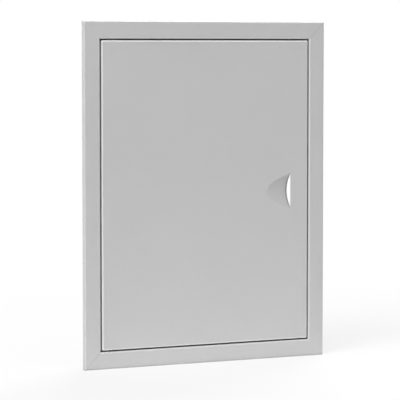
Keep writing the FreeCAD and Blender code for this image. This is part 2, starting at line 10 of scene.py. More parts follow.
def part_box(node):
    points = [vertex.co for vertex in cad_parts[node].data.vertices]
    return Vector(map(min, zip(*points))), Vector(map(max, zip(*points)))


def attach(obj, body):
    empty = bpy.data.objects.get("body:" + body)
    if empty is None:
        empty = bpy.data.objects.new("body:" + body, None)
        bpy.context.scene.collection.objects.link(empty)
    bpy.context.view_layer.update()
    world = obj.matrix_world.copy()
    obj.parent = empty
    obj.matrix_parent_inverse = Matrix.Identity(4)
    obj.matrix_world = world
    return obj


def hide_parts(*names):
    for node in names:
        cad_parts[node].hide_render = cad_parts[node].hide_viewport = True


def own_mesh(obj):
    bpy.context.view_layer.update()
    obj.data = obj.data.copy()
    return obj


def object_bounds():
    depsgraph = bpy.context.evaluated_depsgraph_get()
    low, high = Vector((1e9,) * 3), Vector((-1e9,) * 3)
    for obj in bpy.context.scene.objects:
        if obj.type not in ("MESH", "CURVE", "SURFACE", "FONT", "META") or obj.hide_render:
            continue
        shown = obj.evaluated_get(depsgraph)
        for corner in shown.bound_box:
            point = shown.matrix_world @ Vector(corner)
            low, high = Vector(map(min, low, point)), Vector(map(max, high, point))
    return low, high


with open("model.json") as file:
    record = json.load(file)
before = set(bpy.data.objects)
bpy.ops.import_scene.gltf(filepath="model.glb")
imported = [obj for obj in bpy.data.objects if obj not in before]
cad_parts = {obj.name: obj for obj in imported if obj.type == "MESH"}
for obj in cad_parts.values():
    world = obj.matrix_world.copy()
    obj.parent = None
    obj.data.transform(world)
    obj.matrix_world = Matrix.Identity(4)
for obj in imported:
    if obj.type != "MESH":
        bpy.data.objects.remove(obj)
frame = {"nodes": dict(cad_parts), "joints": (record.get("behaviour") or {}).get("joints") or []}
cad_low, cad_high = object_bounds()

bl_info = {
    "name": "Flush access hatch",
    "version": (1, 0, 0),
    "blender": (4, 5, 0),
    "location": "View3D > Sidebar > Hatch",
    "description": "Builds the painted sheet, seals, catches, hinge and stage of a flush access hatch",
    "category": "Object",
}

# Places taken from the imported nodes, in metres: +X is right, +Y goes into the wall, +Z is up
front_y, back_y = cad_low.y, cad_high.y
half_width, half_height = cad_high.x, cad_high.z
door_low, door_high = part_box("door_panel")
stop_low, stop_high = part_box("stop_top")
stop_y, stop_back_y = stop_low.y, stop_high.y
throat_x = -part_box("stop_left")[0].x
throat_z = stop_high.z
stop_leg = throat_z - stop_low.z
corner_low, corner_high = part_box("corner_bracket_top_left")
corner_y, corner_back_y = corner_low.y, corner_high.y
corner_leg = throat_x + corner_high.x
joints = {joint["name"]: joint for joint in frame["joints"]}
pivot = Vector(joints["door_hinge"]["pos_m"])

STOPS = ("stop_top", "stop_bottom", "stop_left", "stop_right_upper", "stop_right_middle", "stop_right_lower")
SEALS = ("seal_top", "seal_bottom", "seal_right_upper", "seal_right_middle", "seal_right_lower")
CATCHES = ("upper", "lower")

# Frame members: side, turn about Y in degrees, end with the open mitre, painted highlight on the inner and
# the outer fold, set for each side by how the light falls and lifting the shade on the bottom's outer fold
MEMBERS = (
    ("top", 0.0, 1, 0.37, 0.0),
    ("bottom", 180.0, 1, 0.55, 0.43),
    ("left", -90.0, -1, 0.37, 0.0),
    ("right", 90.0, -1, 0.12, 0.0),
)

# Mesh work, in metres where no other unit is given
SAME_PLACE = 1e-6  # points this close share a place
CUT_LIMIT = 1e-7  # cuts this close to a point go through it
ON_FACE = 1e-5  # faces this close to a hole's centre hold it
ON_MITRE = 2e-6  # edges this close to a mitre's plane lie in it
PARALLEL = 0.999  # cosine from which directions count as parallel
SHARP = math.radians(50.0)  # edges that turn by more are softened
HOLE_PATCH = 1.2  # size of the square patch that a hole is drilled in, against the hole's
DENT_RINGS = ((0.72, 0.8), (0.36, 1.0))  # rings of a dent, as shares of its radius and depth

# Painted highlight on the folds of the door and stops, partly standing for the thinner coat there, and
# painted shade at the open mitres
HIGHLIGHT_START = math.cos(math.radians(5.0))  # the painted highlight starts where a fold's normal leaves an axis by this angle
HIGHLIGHT_FULL = math.cos(math.radians(20.0))  # and is full from this angle on
DOOR_HIGHLIGHT = 1.0
DOOR_HINGE_HIGHLIGHT = 0.38
HINGE_FOLD_SHARE = 0.9  # share of the door's fold that belongs to its hinge side
STOP_HIGHLIGHT = 0.75
MITRE_SHADE = 0.6  # share of the soft edge that is darker, as painted shade in the mitre's groove

# Folded sheet
STOP_SPLIT = 0.004  # line across the throat in front of the stops, to keep the holes' patches apart
CORNER_SPLIT = 0.0004  # the same in front of the corner brackets
BACK_START = 1.5  # fold radii from the door's hinge side to the opening in its back
EAR_ROUND = 0.999  # share of half a bracket ear's width that is rounded, just short of meeting

# Finger pull
PULL_MARGIN = 0.0005  # flat margin at the scoop's shallow end
PULL_CUTS = 71  # cuts of the scoop's grid
PULL_DARK_POWER = 8  # ends the darker paint along the lip close to the slot's tips
PULL_TIP = 0.002  # edges this close to the slot's tips stay sharp

# Seals and catches
SEAL_STEP = 0.006  # distance between the points of the seals' wave
SEAL_WAVES = ((95.0, 0.0), (231.0, 1.0))  # parts of the wave, as rate along the seal and shift
POCKET_POINT = 0.004  # from the catch body's ears to a point of its front inside the magnet's pocket

# Spring and grip of the release pin
CLOSED_TURNS = 1.25  # closed turns at each end of the spring
CLOSED_PITCH = 1.08  # rise of a closed turn, in wire thicknesses
TURN_STEPS = 28
WIRE_STEPS = 12
GRIP_MOUTH = ((0.0, 0.0008), (0.0003, 0.0003), (0.0010, 0.0))  # in from the end, under the outside
RINGS_START = 0.0012  # from the grip's mouth to its first ring
RINGS_SPARE = 0.0035  # length of the grip without rings
RING_SHAPE = (  # shares of the rings' pitch and of the groove's depth
    (0.08, 0.0), (0.45, 0.0), (0.58, 0.8), (0.70, 1.0), (0.82, 0.8), (0.95, 0.0),
)
GRIP_ROUND_STEPS = 8
GRIP_STEPS = 40

# Stage
LAMPS = (  # soft lamps aimed at the origin, as name, property with the power, and place
    ("key_lamp", "key", (-7.0, -4.5, 5.5)),
    ("top_lamp", "top", (0.0, -3.5, 9.4)),
    ("back_lamp", "back", (5.2, 6.0, 6.1)),
)
LAMP_SIZE = (5.2, 5.2)
FILL_X = -0.11  # low lamp on the floor, which lights upwards
FILL_FRONT = 0.103  # its distance in front of the hatch
FILL_DROP = 0.0002  # its depth under the hatch's lower edge
FILL_SIZE = (0.6, 0.2)
FLOOR_DROP = 0.0003  # depth of the floor under the hatch's lower edge
FLOOR_SIZE = 9.0
FLOOR_FADE = (0.3, 1.3)  # distances from the hatch between which the floor fades to white
WHITE = (1.0, 1.0, 1.0, 1.0)


def length_property(name, description, default):
    """Property for a size in metres."""
    return FloatProperty(name=name, description=description, default=default, min=0.0, unit="LENGTH",
                         precision=5)


def colour_property(name, description, default):
    """Property for a linear colour."""
    return FloatVectorProperty(name=name, description=description, default=default, subtype="COLOR",
                               size=3, min=0.0, max=1.0)


def place_property(name, description, default):
    """Property for a point in space."""
    return FloatVectorProperty(name=name, description=description, default=default, subtype="XYZ",
                               size=3, unit="LENGTH")


def power_property(name, description, default):
    """Property for the power of a lamp."""
    return FloatProperty(name=name, description=description, default=default, min=0.0, unit="POWER")


class HatchSizes(bpy.types.PropertyGroup):
    """Sizes of the pieces that are modelled here."""
    sheet: length_property("Sheet", "Thickness of the painted steel sheet", 0.001)
    fold: length_property("Fold radius", "Outside radius of the folds of the frame and door", 0.002)
    flange: length_property("Flange", "Width of the frame's flange", half_width - throat_x)
    mitre_gap: length_property("Mitre gap", "How far each frame member stops short of its mitre", 0.00001)
    soft_edge: length_property("Soft edge", "Rounding of the painted sheet's cut edges", 0.00022)
    wall_hole: length_property("Wall hole", "Radius of the holes for the wall screws", 0.0025)
    wall_hole_inset: length_property("Wall hole inset", "From the throat's back to the wall screws", 0.007)
    wall_hole_spacing: length_property("Wall hole spacing", "Between the wall screws of one side", 0.280)
    bush_hole: length_property("Bush hole", "Radius of the holes for the hinge bushes", 0.0031)
    door_lip: length_property("Door lip", "Width of the lips at the back of the door", 0.011)
    hinge_depth: length_property("Hinge side depth", "Depth of the door's edge on the hinge side", 0.010)
    hinge_notch: length_property("Hinge notch", "Length of the sloping end of the door's lips", 0.008)
    pull_height: length_property("Pull height", "Height of the finger pull's slot", 0.0446)
    pull_length: length_property("Pull length", "Length of the finger pull's scoop", 0.035)
    pull_depth: length_property("Pull depth", "Depth of the finger pull's trough at its slot", 0.0060)
    pull_gap: length_property("Pull gap", "Width of the finger pull's crescent opening at its middle", 0.0031)
    pull_setback: length_property("Pull setback", "From the slot to the door's closing edge", 0.0252)
    pull_rim: length_property("Pull rim", "Depth over which the scoop's rim is rounded", 0.0003)
    # Darker paint along the scoop's lip
    lip_dark_width: length_property("Lip wear", "Width of the worn paint along the scoop's lip", 0.0016)
    stop_fold: length_property("Stop fold", "Outside radius of the stops' fold", 0.0016)
    weld_radius: length_property("Weld spot", "Radius of the spot welds that hold the stops", 0.0021)
    weld_depth: length_property("Weld depth", "Depth of a spot weld's dent", 0.00012)
    weld_spacing: length_property("Weld spacing", "Usual distance between spot welds", 0.055)
    corner_sheet: length_property("Corner sheet", "Thickness of the corner brackets", 0.0015)
    corner_fold: length_property("Corner fold", "Outside radius of the corner brackets' fold", 0.0025)
    rivet_hole: length_property("Rivet hole", "Radius of the holes for the corner rivets", 0.00165)
    rivet_inset: length_property("Rivet inset", "From a corner bracket's tip to its first rivet", 0.005)
    rivet_spacing: length_property("Rivet spacing", "Between the two rivets of a leg", 0.009)
    bracket_sheet: length_property("Bracket sheet", "Thickness of the door's brackets", 0.0015)
    bracket_fold: length_property("Bracket fold", "Outside radius of the door brackets' folds", 0.0025)
    pin_bore: length_property("Pin bore", "Radius of the holes that the pins turn in", 0.00206)
    seal_wall: length_property("Seal wall", "Thickness of the hollow seals", 0.0013)
    seal_flat: length_property("Seal flat", "Half the width of the flat on the seals' crown", 0.0005)
    seal_soft: length_property("Seal edge", "Rounding of the seals' cut edges", 0.00015)
    seal_wave: length_property("Seal wave", "Height of the slight wave along the seals", 0.00022)
    catch_ear: length_property("Catch ear", "Thickness of the catch body's screw ears", 0.003)
    catch_corner: length_property("Catch corner", "Rounding of the ears' corners", 0.003)
    catch_half: length_property("Catch half length", "From the catch's middle to the end of its body", 0.015)
    catch_soft: length_property("Catch edge", "Rounding of the catch body's edges", 0.0005)
    pocket_gap: length_property("Pocket gap", "Room round the plates in the catch's pocket", 0.0001)
    screw_hole: length_property("Screw hole", "Radius of the holes for the catch screws", 0.0018)
    screw_offset: length_property("Screw offset", "From a catch's middle to its screws", 0.019)
    magnet_soft: length_property("Magnet edge", "Rounding of the magnets' edges", 0.0006)
    pole_sheet: length_property("Pole plate", "Thickness of the pole plates", 0.0012)
    pole_soft: length_property("Pole plate edge", "Rounding of the pole plates' edges", 0.0002)
    spring_wire: length_property("Spring wire", "Thickness of the spring's wire", 0.0007)
    spring_turns: IntProperty(name="Spring turns", description="Open turns of the spring", default=7, min=2)
    grip_bore: length_property("Grip bore", "Radius of the grip's bore", 0.00203)
    grip_socket: length_property("Grip socket", "Depth of the grip's bore", 0.004)
    grip_round: length_property("Grip end", "Rounding of the grip's end", 0.0016)
    grip_rings: IntProperty(name="Grip rings", description="Rings moulded into the grip", default=5, min=1)
    ring_depth: length_property("Ring depth", "Depth of the grooves between the grip's rings", 0.00045)


class HatchColours(bpy.types.PropertyGroup):
    """Colours of the finishes."""
    coat: colour_property("Powder coat", "Light grey paint of the sheet", (0.441, 0.441, 0.441))
    zinc: colour_property("Zinc", "Plating of the brackets", (0.60, 0.61, 0.62))
    aluminium: colour_property("Aluminium", "Blind rivets", (0.80, 0.80, 0.80))
    rubber: colour_property("Rubber", "Seals", (0.016, 0.016, 0.017))
    plastic: colour_property("Catch plastic", "Catch bodies", (0.70, 0.69, 0.66))
    ferrite: colour_property("Ferrite", "Magnets", (0.030, 0.029, 0.030))
    nickel: colour_property("Nickel", "Screws and pole plates", (0.66, 0.63, 0.58))
    nylon: colour_property("Nylon", "Hinge bushes", (0.045, 0.045, 0.047))
    steel: colour_property("Bright steel", "Pins and clip", (0.56, 0.56, 0.57))
    spring: colour_property("Spring steel", "Spring", (0.40, 0.40, 0.42))
    vinyl: colour_property("Vinyl", "Grip on the pin's handle", (0.030, 0.032, 0.036))
    floor: colour_property("Floor", "Studio floor", (0.72, 0.72, 0.72))


class HatchStage(bpy.types.PropertyGroup):
    """Camera and light."""
    lens: FloatProperty(name="Lens", description="Focal length of the camera", default=192.63, min=1.0,
                        unit="CAMERA")
    camera_place: place_property("Camera place", "Where the camera stands", (-1.1674, -2.4972, 0.1878))
    camera_aim: place_property("Camera aim", "Point that the camera looks at", (-0.0101, -0.007, -0.0087))
    sky: FloatProperty(name="Sky light", description="Strength of the even light all round", default=0.165,
                       min=0.0)
    key: power_property("Key light", "Soft lamp at the upper left", 1040.0)
    top: power_property("Top light", "Soft lamp over the hatch", 240.0)
    back: power_property("Back light", "Soft lamp behind the hatch, at its right", 700.0)
    fill: power_property("Floor fill", "Low lamp in front of the hatch", 0.215)
    floor_white: FloatProperty(name="Floor white", default=0.75, min=0.0, max=1.0,
                               description="Share of plain white in the floor near the hatch")


# Sheet helpers

def add_block(bm, low, high):
    """Adds a block between two corners."""
    bmesh.ops.create_cube(bm, size=1.0, matrix=Matrix.LocRotScale((low + high) / 2, None, high - low))


def outline_sheet(points, run, closed=False):
    """Thin sheet drawn by an outline of points that is moved along a run."""
    bm = bmesh.new()
    row = [bm.verts.new(point) for point in points]
    pairs = list(zip(row, row[1:]))
    if closed:
        pairs.append((row[-1], row[0]))
    edges = [bm.edges.new(pair) for pair in pairs]
    swept = bmesh.ops.extrude_edge_only(bm, edges=edges)["geom"]
    bmesh.ops.translate(bm, verts=[g for g in swept if isinstance(g, bmesh.types.BMVert)], vec=run)
    return bm


def edge_span(edge, axis):
    """Length of an edge along one axis."""
    return abs((edge.verts[0].co - edge.verts[1].co)[axis])


def off_plane(spot, plane):
    """Distance of a spot from a plane given as (point, direction)."""
    point, way = plane
    return abs((spot - point).dot(way))


def round_edges(bm, edges, radius, steps):
    """Rounds edges with an arc of the given radius."""
    bmesh.ops.bevel(bm, geom=edges, offset=radius, offset_type="OFFSET", segments=steps, profile=0.5,
                    affect="EDGES", material=-1, clamp_overlap=True)


def round_folds(bm, radius, steps=6):
    """Rounds every edge between two faces of a sheet."""
    round_edges(bm, [edge for edge in bm.edges if len(edge.link_faces) == 2], radius, steps)


def cut_plane(bm, point, way, drop=False):
    """Draws a line where a sheet meets a plane; drop takes away what lies beyond it."""
    geom = list(bm.verts) + list(bm.edges) + list(bm.faces)
    bmesh.ops.bisect_plane(bm, geom=geom, plane_co=point, plane_no=way, clear_outer=drop, dist=CUT_LIMIT)


def side_axes(axis):
    """The two axes of a flat face that lies across an axis."""
    return [i for i in range(3) if abs(axis[i]) < 0.5]


def face_round(bm, centre, axis):
    """Smallest flat face across an axis that has the centre inside its outline."""
    found = []
    for face in bm.faces:
        if abs(face.normal.dot(axis)) < PARALLEL:
            continue
        spots = [vert.co - centre for vert in face.verts]
        if abs(spots[0].dot(axis)) > ON_FACE:
            continue
        if all(min(s[i] for s in spots) < 0 < max(s[i] for s in spots) for i in side_axes(axis)):
            found.append(face)
    if not found:
        raise RuntimeError("no flat sheet round " + str(tuple(centre)))
    return min(found, key=lambda face: face.calc_area())


def square_patch(bm, centre, axis, low, high):
    """Cuts a rectangle out of the flat face round the centre, from low to high on its two axes."""
    bm.normal_update()
    spots = [vert.co for vert in face_round(bm, centre, axis).verts]
    cuts = list(zip(side_axes(axis), low, high))
    cuts.sort(key=lambda cut: min(s[cut[0]] for s in spots) - max(s[cut[0]] for s in spots))
    for i, near, far in cuts:
        way = Vector([1.0 if k == i else 0.0 for k in range(3)])
        for reach in (near, far):
            face = face_round(bm, centre, axis)
            bmesh.ops.bisect_plane(bm, geom=[face] + list(face.edges) + list(face.verts),
                                   plane_co=centre + way * reach, plane_no=way, dist=CUT_LIMIT)
    return face_round(bm, centre, axis)


def ring_in(bm, rim, move):
    """Grows a sheet inward from the rim of a hole; move places each new vertex. Returns the new rim."""
    grown = bmesh.ops.extrude_edge_only(bm, edges=rim)["geom"]
    for vert in [g for g in grown if isinstance(g, bmesh.types.BMVert)]:
        vert.co = move(vert.co)
    return [g for g in grown if isinstance(g, bmesh.types.BMEdge) and g.is_boundary]


def drill(bm, centre, axis, radius, steps=32):
    """Round hole through a flat stretch of sheet; returns the edges of its rim."""
    centre, axis = Vector(centre), Vector(axis)
    half = radius * HOLE_PATCH
    patch = square_patch(bm, centre, axis, (-half, -half), (half, half))
    rim = list(patch.edges)
    bmesh.ops.delete(bm, geom=[patch], context="FACES_ONLY")
    cut = bmesh.ops.subdivide_edges(bm, edges=rim, cuts=steps // len(rim) - 1)
    rim = [g for g in cut["geom_split"] if isinstance(g, bmesh.types.BMEdge)]
    return ring_in(bm, rim, lambda spot: centre + (spot - centre).normalized() * radius)


def dent(bm, centre, axis, radius, depth):
    """Shallow round dent, such as a spot weld leaves, pushed along the axis."""
    rim = drill(bm, centre, axis, radius, steps=24)
    for share, sink in DENT_RINGS:
        floor = centre + axis * depth * sink

        def move(spot):
            across = spot - centre
            across -= axis * across.dot(axis)
            return floor + across.normalized() * radius * share

        rim = ring_in(bm, rim, move)
    bmesh.ops.edgeloop_fill(bm, edges=rim)


def mark_fold_highlights(bm, highlight):
    """Marks the folds of a sheet with a painted highlight, partly standing for the thinner coat there;
    highlight gives the share at a place.
    """
    rubbed = bm.verts.layers.float.new("rubbed")
    bm.normal_update()
    for vert in bm.verts:
        flat = max(abs(part) for part in vert.normal)
        vert[rubbed] = highlight(vert.co) * min(max((HIGHLIGHT_START - flat) / (HIGHLIGHT_START - HIGHLIGHT_FULL), 0.0), 1.0)


def face_out(bm, inside):
    """Turns all faces of a sheet away from a point inside its folds."""
    bmesh.ops.recalc_face_normals(bm, faces=bm.faces)
    broad = max(bm.faces, key=lambda face: face.calc_area())
    if (broad.calc_center_median() - Vector(inside)).dot(broad.normal) < 0:
        bmesh.ops.reverse_faces(bm, faces=bm.faces)


def thicken(bm, sheet):
    """Gives a sheet its thickness on the side that its faces turn away from."""
    bmesh.ops.solidify(bm, geom=list(bm.faces), thickness=sheet)
    bmesh.ops.recalc_face_normals(bm, faces=bm.faces)


def soften(bm, width, steps=2, leave=()):
    """Rounds the sharp edges of a solid a little, apart from those to leave sharp."""
    leave = dict.fromkeys(leave)
    edges = [
        edge for edge in bm.edges
        if len(edge.link_faces) == 2 and edge.calc_face_angle(0.0) > SHARP and edge not in leave
    ]
    round_edges(bm, edges, width, steps)


def add_piece(bm, name, body, slot, node):
    """Makes an object of a mesh, shades it, gives it its slot's material, ties it to its body and hides the
    CAD node that it stands in for.
    """
    for face in bm.faces:
        face.smooth = True
    mesh = bpy.data.meshes.new(name)
    bm.to_mesh(mesh)
    bm.free()
    mesh.materials.append(material_for(slot))
    piece = bpy.data.objects.new(name, mesh)
    bpy.context.scene.collection.objects.link(piece)
    shading = piece.modifiers.new("Flat faces stay flat", "WEIGHTED_NORMAL")
    shading.mode = "FACE_AREA_WITH_ANGLE"
    shading.weight = 60
    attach(piece, body)
    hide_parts(node)
    return piece


def dress(node, slot):
    """Puts a slot's finish on a CAD node whose shape is kept."""
    frame["nodes"][node].material_slots[0].material = material_for(slot)


# Finishes

def add_node(tree, kind, inputs=None, **settings):
    """Adds a shader node; each of its inputs is given a value or a socket to link."""
    node = tree.nodes.new(kind)
    for name, value in settings.items():
        setattr(node, name, value)
    for name, value in (inputs or {}).items():
        if isinstance(value, bpy.types.NodeSocket):
            tree.links.new(value, node.inputs[name])
        else:
            node.inputs[name].default_value = value
    return node


class Surface:
    """Node tree of one material, built round its main shader."""

    def __init__(self, name, roughness, metallic):
        self.material = bpy.data.materials.new(name)
        self.material.use_nodes = True
        self.tree = self.material.node_tree
        self.shader = self.tree.nodes["Principled BSDF"]
        self.shader.inputs["Roughness"].default_value = roughness
        self.shader.inputs["Metallic"].default_value = metallic
        self.place = add_node(self.tree, "ShaderNodeTexCoord").outputs["Object"]

    def noise(self, scale, detail, stretch=(1.0, 1.0, 1.0)):
        """Cloudy pattern with that many features to the metre, drawn out along an axis by stretch."""
        mapping = add_node(self.tree, "ShaderNodeMapping", {"Vector": self.place, "Scale": stretch})
        inputs = {"Vector": mapping.outputs["Vector"], "Scale": scale, "Detail": detail}
        return add_node(self.tree, "ShaderNodeTexNoise", inputs).outputs["Fac"]

    def grains(self, scale):
        """Patchwork of cells, as on plated surfaces."""
        cells = add_node(self.tree, "ShaderNodeTexVoronoi", {"Vector": self.place, "Scale": scale})
        return add_node(self.tree, "ShaderNodeRGBToBW", {"Color": cells.outputs["Color"]}).outputs["Val"]

    def marks(self, name, patches):
        """Marks kept on the piece's own points, broken up by a pattern."""
        mark = add_node(self.tree, "ShaderNodeAttribute", attribute_name=name)
        inputs = {0: mark.outputs["Fac"], 1: patches}
        return add_node(self.tree, "ShaderNodeMath", inputs, operation="MULTIPLY").outputs["Value"]

    def spread(self, pattern, low, high, start=0.3, end=0.7):
        """Pattern brought from its own range to values between low and high."""
        inputs = {"Value": pattern, "From Min": start, "From Max": end, "To Min": low, "To Max": high}
        return add_node(self.tree, "ShaderNodeMapRange", inputs).outputs["Result"]

    def colour(self, base, first, *others):
        """Base colour, shifted by layers of (pattern, share at its start, share at its end, start, end)."""
        pattern, dark, light = first
        inputs = {
            "Factor": self.spread(pattern, 0.0, 1.0),
            "A": (*[c * dark for c in base], 1.0),
            "B": (*[min(c * light, 1.0) for c in base], 1.0),
        }
        tint = add_node(self.tree, "ShaderNodeMix", inputs, data_type="RGBA").outputs["Result"]
        for pattern, dark, light, *span in others:
            share = self.spread(pattern, dark, light, *span)
            channels = {"Red": share, "Green": share, "Blue": share}
            grey = add_node(self.tree, "ShaderNodeCombineColor", channels)
            inputs = {"Factor": 1.0, "A": tint, "B": grey.outputs["Color"]}
            mix = add_node(self.tree, "ShaderNodeMix", inputs, data_type="RGBA", blend_type="MULTIPLY")
            tint = mix.outputs["Result"]
        self.tree.links.new(tint, self.shader.inputs["Base Color"])

    def roughness(self, pattern, low, high):
        """Roughness that follows a pattern."""
        self.tree.links.new(self.spread(pattern, low, high), self.shader.inputs["Roughness"])

    def relief(self, *layers):
        """Bump from layers of (pattern, depth in metres, strength)."""
        normal = None
        for pattern, depth, strength in layers:
            inputs = {"Height": pattern, "Distance": depth, "Strength": strength}
            bump = add_node(self.tree, "ShaderNodeBump", inputs)
            if normal:
                self.tree.links.new(normal, bump.inputs["Normal"])
            normal = bump.outputs["Normal"]
        self.tree.links.new(normal, self.shader.inputs["Normal"])


FINISHES = {}


def finish(name, roughness, metallic=0.0):
    """Keeps the function that paints a slot, which is named as the slot, with its material's values."""
    def keep(paint):
        FINISHES[paint.__name__] = (name, roughness, metallic, paint)
        return paint
    return keep


def material_for(slot):
    """Material of a slot, made on its first use; the CAD's plain materials have the slots' own names."""
    name, roughness, metallic, paint = FINISHES[slot]
    material = bpy.data.materials.get(name)
    if material is None:
        surface = Surface(name, roughness, metallic)
        paint(surface, bpy.context.scene.hatch_colours)
        material = surface.material
    return material


@finish("powder_coat_light_grey", roughness=0.36)
def powder_coat(coat, colours):
    """Satin light grey powder coat with fine orange peel."""
    # Painted highlight: the folds are up to 1.6 times lighter, partly standing for the thinner coat there.
    # Painted shade: the open mitres' groove is darker, down to 0.55 times; the scoop's lip is darkened the
    # same way.
    rubbed = coat.marks("rubbed", coat.spread(coat.noise(90.0, 3.0), 0.75, 1.0))
    worn = coat.marks("worn", coat.spread(coat.noise(350.0, 3.0), 0.80, 1.0))
    coat.colour(colours.coat, (coat.noise(7.0, 3.0), 0.985, 1.015), (coat.noise(1500.0, 1.0), 0.975, 1.025),
                (rubbed, 1.0, 1.60, 0.0, 1.0), (worn, 1.0, 0.55, 0.0, 1.0))
    coat.roughness(coat.noise(60.0, 3.0), 0.32, 0.40)
    coat.relief((coat.noise(480.0, 1.5), 0.00005, 0.30), (coat.noise(2600.0, 1.0), 0.00002, 0.15))


@finish("zinc_plated_steel", roughness=0.35, metallic=1.0)
def zinc_plate(zinc, colours):
    """Zinc plating with a faint spangle and rolling lines."""
    zinc.colour(colours.zinc, (zinc.grains(260.0), 0.86, 1.08), (zinc.noise(60.0, 3.0), 0.90, 1.06))
    zinc.roughness(zinc.noise(140.0, 3.0, (1.0, 1.0, 0.15)), 0.28, 0.46)
    zinc.relief((zinc.noise(1600.0, 2.0, (1.0, 1.0, 0.1)), 0.00003, 0.3))


@finish("drawn_rivet_aluminium", roughness=0.32, metallic=1.0)
def rivet_aluminium(rivet, colours):
    """Drawn aluminium, softly tumbled."""
    rivet.colour(colours.aluminium,
                 (rivet.noise(900.0, 3.0), 0.88, 1.05), (rivet.noise(90.0, 2.0), 0.94, 1.03))
    rivet.roughness(rivet.noise(700.0, 2.0), 0.25, 0.42)
    rivet.relief((rivet.noise(2400.0, 2.0), 0.00003, 0.3))


@finish("extruded_seal_rubber", roughness=0.7)
def seal_rubber(rubber, colours):
    """Extruded black rubber with a dusty bloom."""
    rubber.colour(colours.rubber, (rubber.noise(120.0, 4.0), 0.7, 1.5), (rubber.noise(1800.0, 2.0), 0.8, 1.2))
    rubber.roughness(rubber.noise(200.0, 3.0), 0.58, 0.82)
    rubber.relief((rubber.noise(1400.0, 3.0), 0.00004, 0.35))


@finish("moulded_catch_plastic", roughness=0.5)
def catch_plastic(plastic, colours):
    """Off-white moulded plastic with a fine spark texture."""
    plastic.colour(colours.plastic,
                   (plastic.noise(70.0, 3.0), 0.97, 1.02), (plastic.noise(2000.0, 1.0), 0.97, 1.03))
    plastic.roughness(plastic.noise(300.0, 2.0), 0.44, 0.58)
    plastic.relief((plastic.noise(2200.0, 2.0), 0.00004, 0.4))


@finish("sintered_ferrite", roughness=0.6)
def magnet_ferrite(ferrite, colours):
    """Sintered charcoal ferrite."""
    ferrite.colour(colours.ferrite,
                   (ferrite.noise(900.0, 4.0), 0.7, 1.5), (ferrite.noise(120.0, 2.0), 0.85, 1.15))
    ferrite.roughness(ferrite.noise(500.0, 3.0), 0.5, 0.72)
    ferrite.relief((ferrite.noise(1500.0, 4.0), 0.00005, 0.4))


@finish("bright_nickel", roughness=0.25, metallic=1.0)
def nickel_plate(nickel, colours):
    """Bright nickel with hair scratches."""
    nickel.colour(colours.nickel,
                  (nickel.noise(300.0, 3.0), 0.92, 1.05), (nickel.noise(2000.0, 2.0), 0.95, 1.04))
    nickel.roughness(nickel.noise(1200.0, 3.0, (1.0, 0.1, 1.0)), 0.18, 0.36)
    nickel.relief((nickel.noise(2600.0, 2.0, (1.0, 0.1, 1.0)), 0.00002, 0.3))


@finish("bush_nylon", roughness=0.45)
def bush_plastic(nylon, colours):
    """Dark nylon, slightly waxy."""
    nylon.colour(colours.nylon, (nylon.noise(400.0, 3.0), 0.85, 1.2), (nylon.noise(2200.0, 1.0), 0.92, 1.08))
    nylon.roughness(nylon.noise(500.0, 2.0), 0.38, 0.54)
    nylon.relief((nylon.noise(1800.0, 2.0), 0.00003, 0.3))


@finish("turned_pin_steel", roughness=0.28, metallic=1.0)
def pin_steel(steel, colours):
    """Turned bright steel with fine lathe lines round the pin."""
    lines = steel.noise(2400.0, 2.0, (0.1, 0.1, 1.0))
    steel.colour(colours.steel, (steel.noise(250.0, 3.0), 0.90, 1.06), (lines, 0.94, 1.04))
    steel.roughness(steel.noise(1500.0, 2.0, (0.1, 0.1, 1.0)), 0.20, 0.38)
    steel.relief((steel.noise(4000.0, 1.0, (0.05, 0.05, 1.0)), 0.00002, 0.3))


@finish("drawn_spring_wire", roughness=0.34, metallic=1.0)
def spring_steel(wire, colours):
    """Drawn spring wire, a little darker than the pin."""
    wire.colour(colours.spring, (wire.noise(700.0, 3.0), 0.85, 1.1), (wire.noise(120.0, 2.0), 0.92, 1.06))
    wire.roughness(wire.noise(900.0, 2.0), 0.26, 0.44)
    wire.relief((wire.noise(3000.0, 2.0), 0.00002, 0.3))


@finish("dipped_grip_vinyl", roughness=0.48)
def grip_vinyl(vinyl, colours):
    """Dipped dark vinyl with a soft sheen."""
    vinyl.colour(colours.vinyl, (vinyl.noise(300.0, 3.0), 0.85, 1.2), (vinyl.noise(2400.0, 1.0), 0.9, 1.1))
    vinyl.roughness(vinyl.noise(400.0, 2.0), 0.40, 0.58)
    vinyl.relief((vinyl.noise(1200.0, 2.0), 0.00003, 0.35))


# Shared places, and the shape of the finger pull

def strip_place(name):
    """Box of a stop or seal, with the axes along and across it and its run from end to end."""
    low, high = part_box(name)
    along = 2 if "_left" in name or "_right" in name else 0
    run = Vector((0.0, 0.0, 0.0))
    run[along] = high[along] - low[along]
    return low, high, along, 2 - along, run


def strip_point(low, along, sideways, y):
    """Point of a strip's outline, at the strip's start."""
    spot = Vector((sideways, y, sideways))
    spot[along] = low[along]
    return spot


def throat_side(low, high, across):
    """Where the throat's face lies on the axis across a stop, and the sign of the way out through it."""
    sign = math.copysign(1.0, low[across] + high[across])
    return (high if sign > 0 else low)[across], sign


def weld_spots(stop, sizes):
    """Centres of a stop's spot welds on the throat's face, with the direction out of the throat."""
    low, high, along, across, run = strip_place(stop)
    face, sign = throat_side(low, high, across)
    outward = Vector((0.0, 0.0, 0.0))
    outward[across] = sign
    foot_y = (stop_y + sizes.stop_fold + stop_back_y) / 2
    count = max(2, round(run[along] / sizes.weld_spacing))
    spots = []
    for step in range(count):
        spot = strip_point(low, along, face, foot_y) + run * (step + 0.5) / count
        spots.append((spot, outward))
    return spots


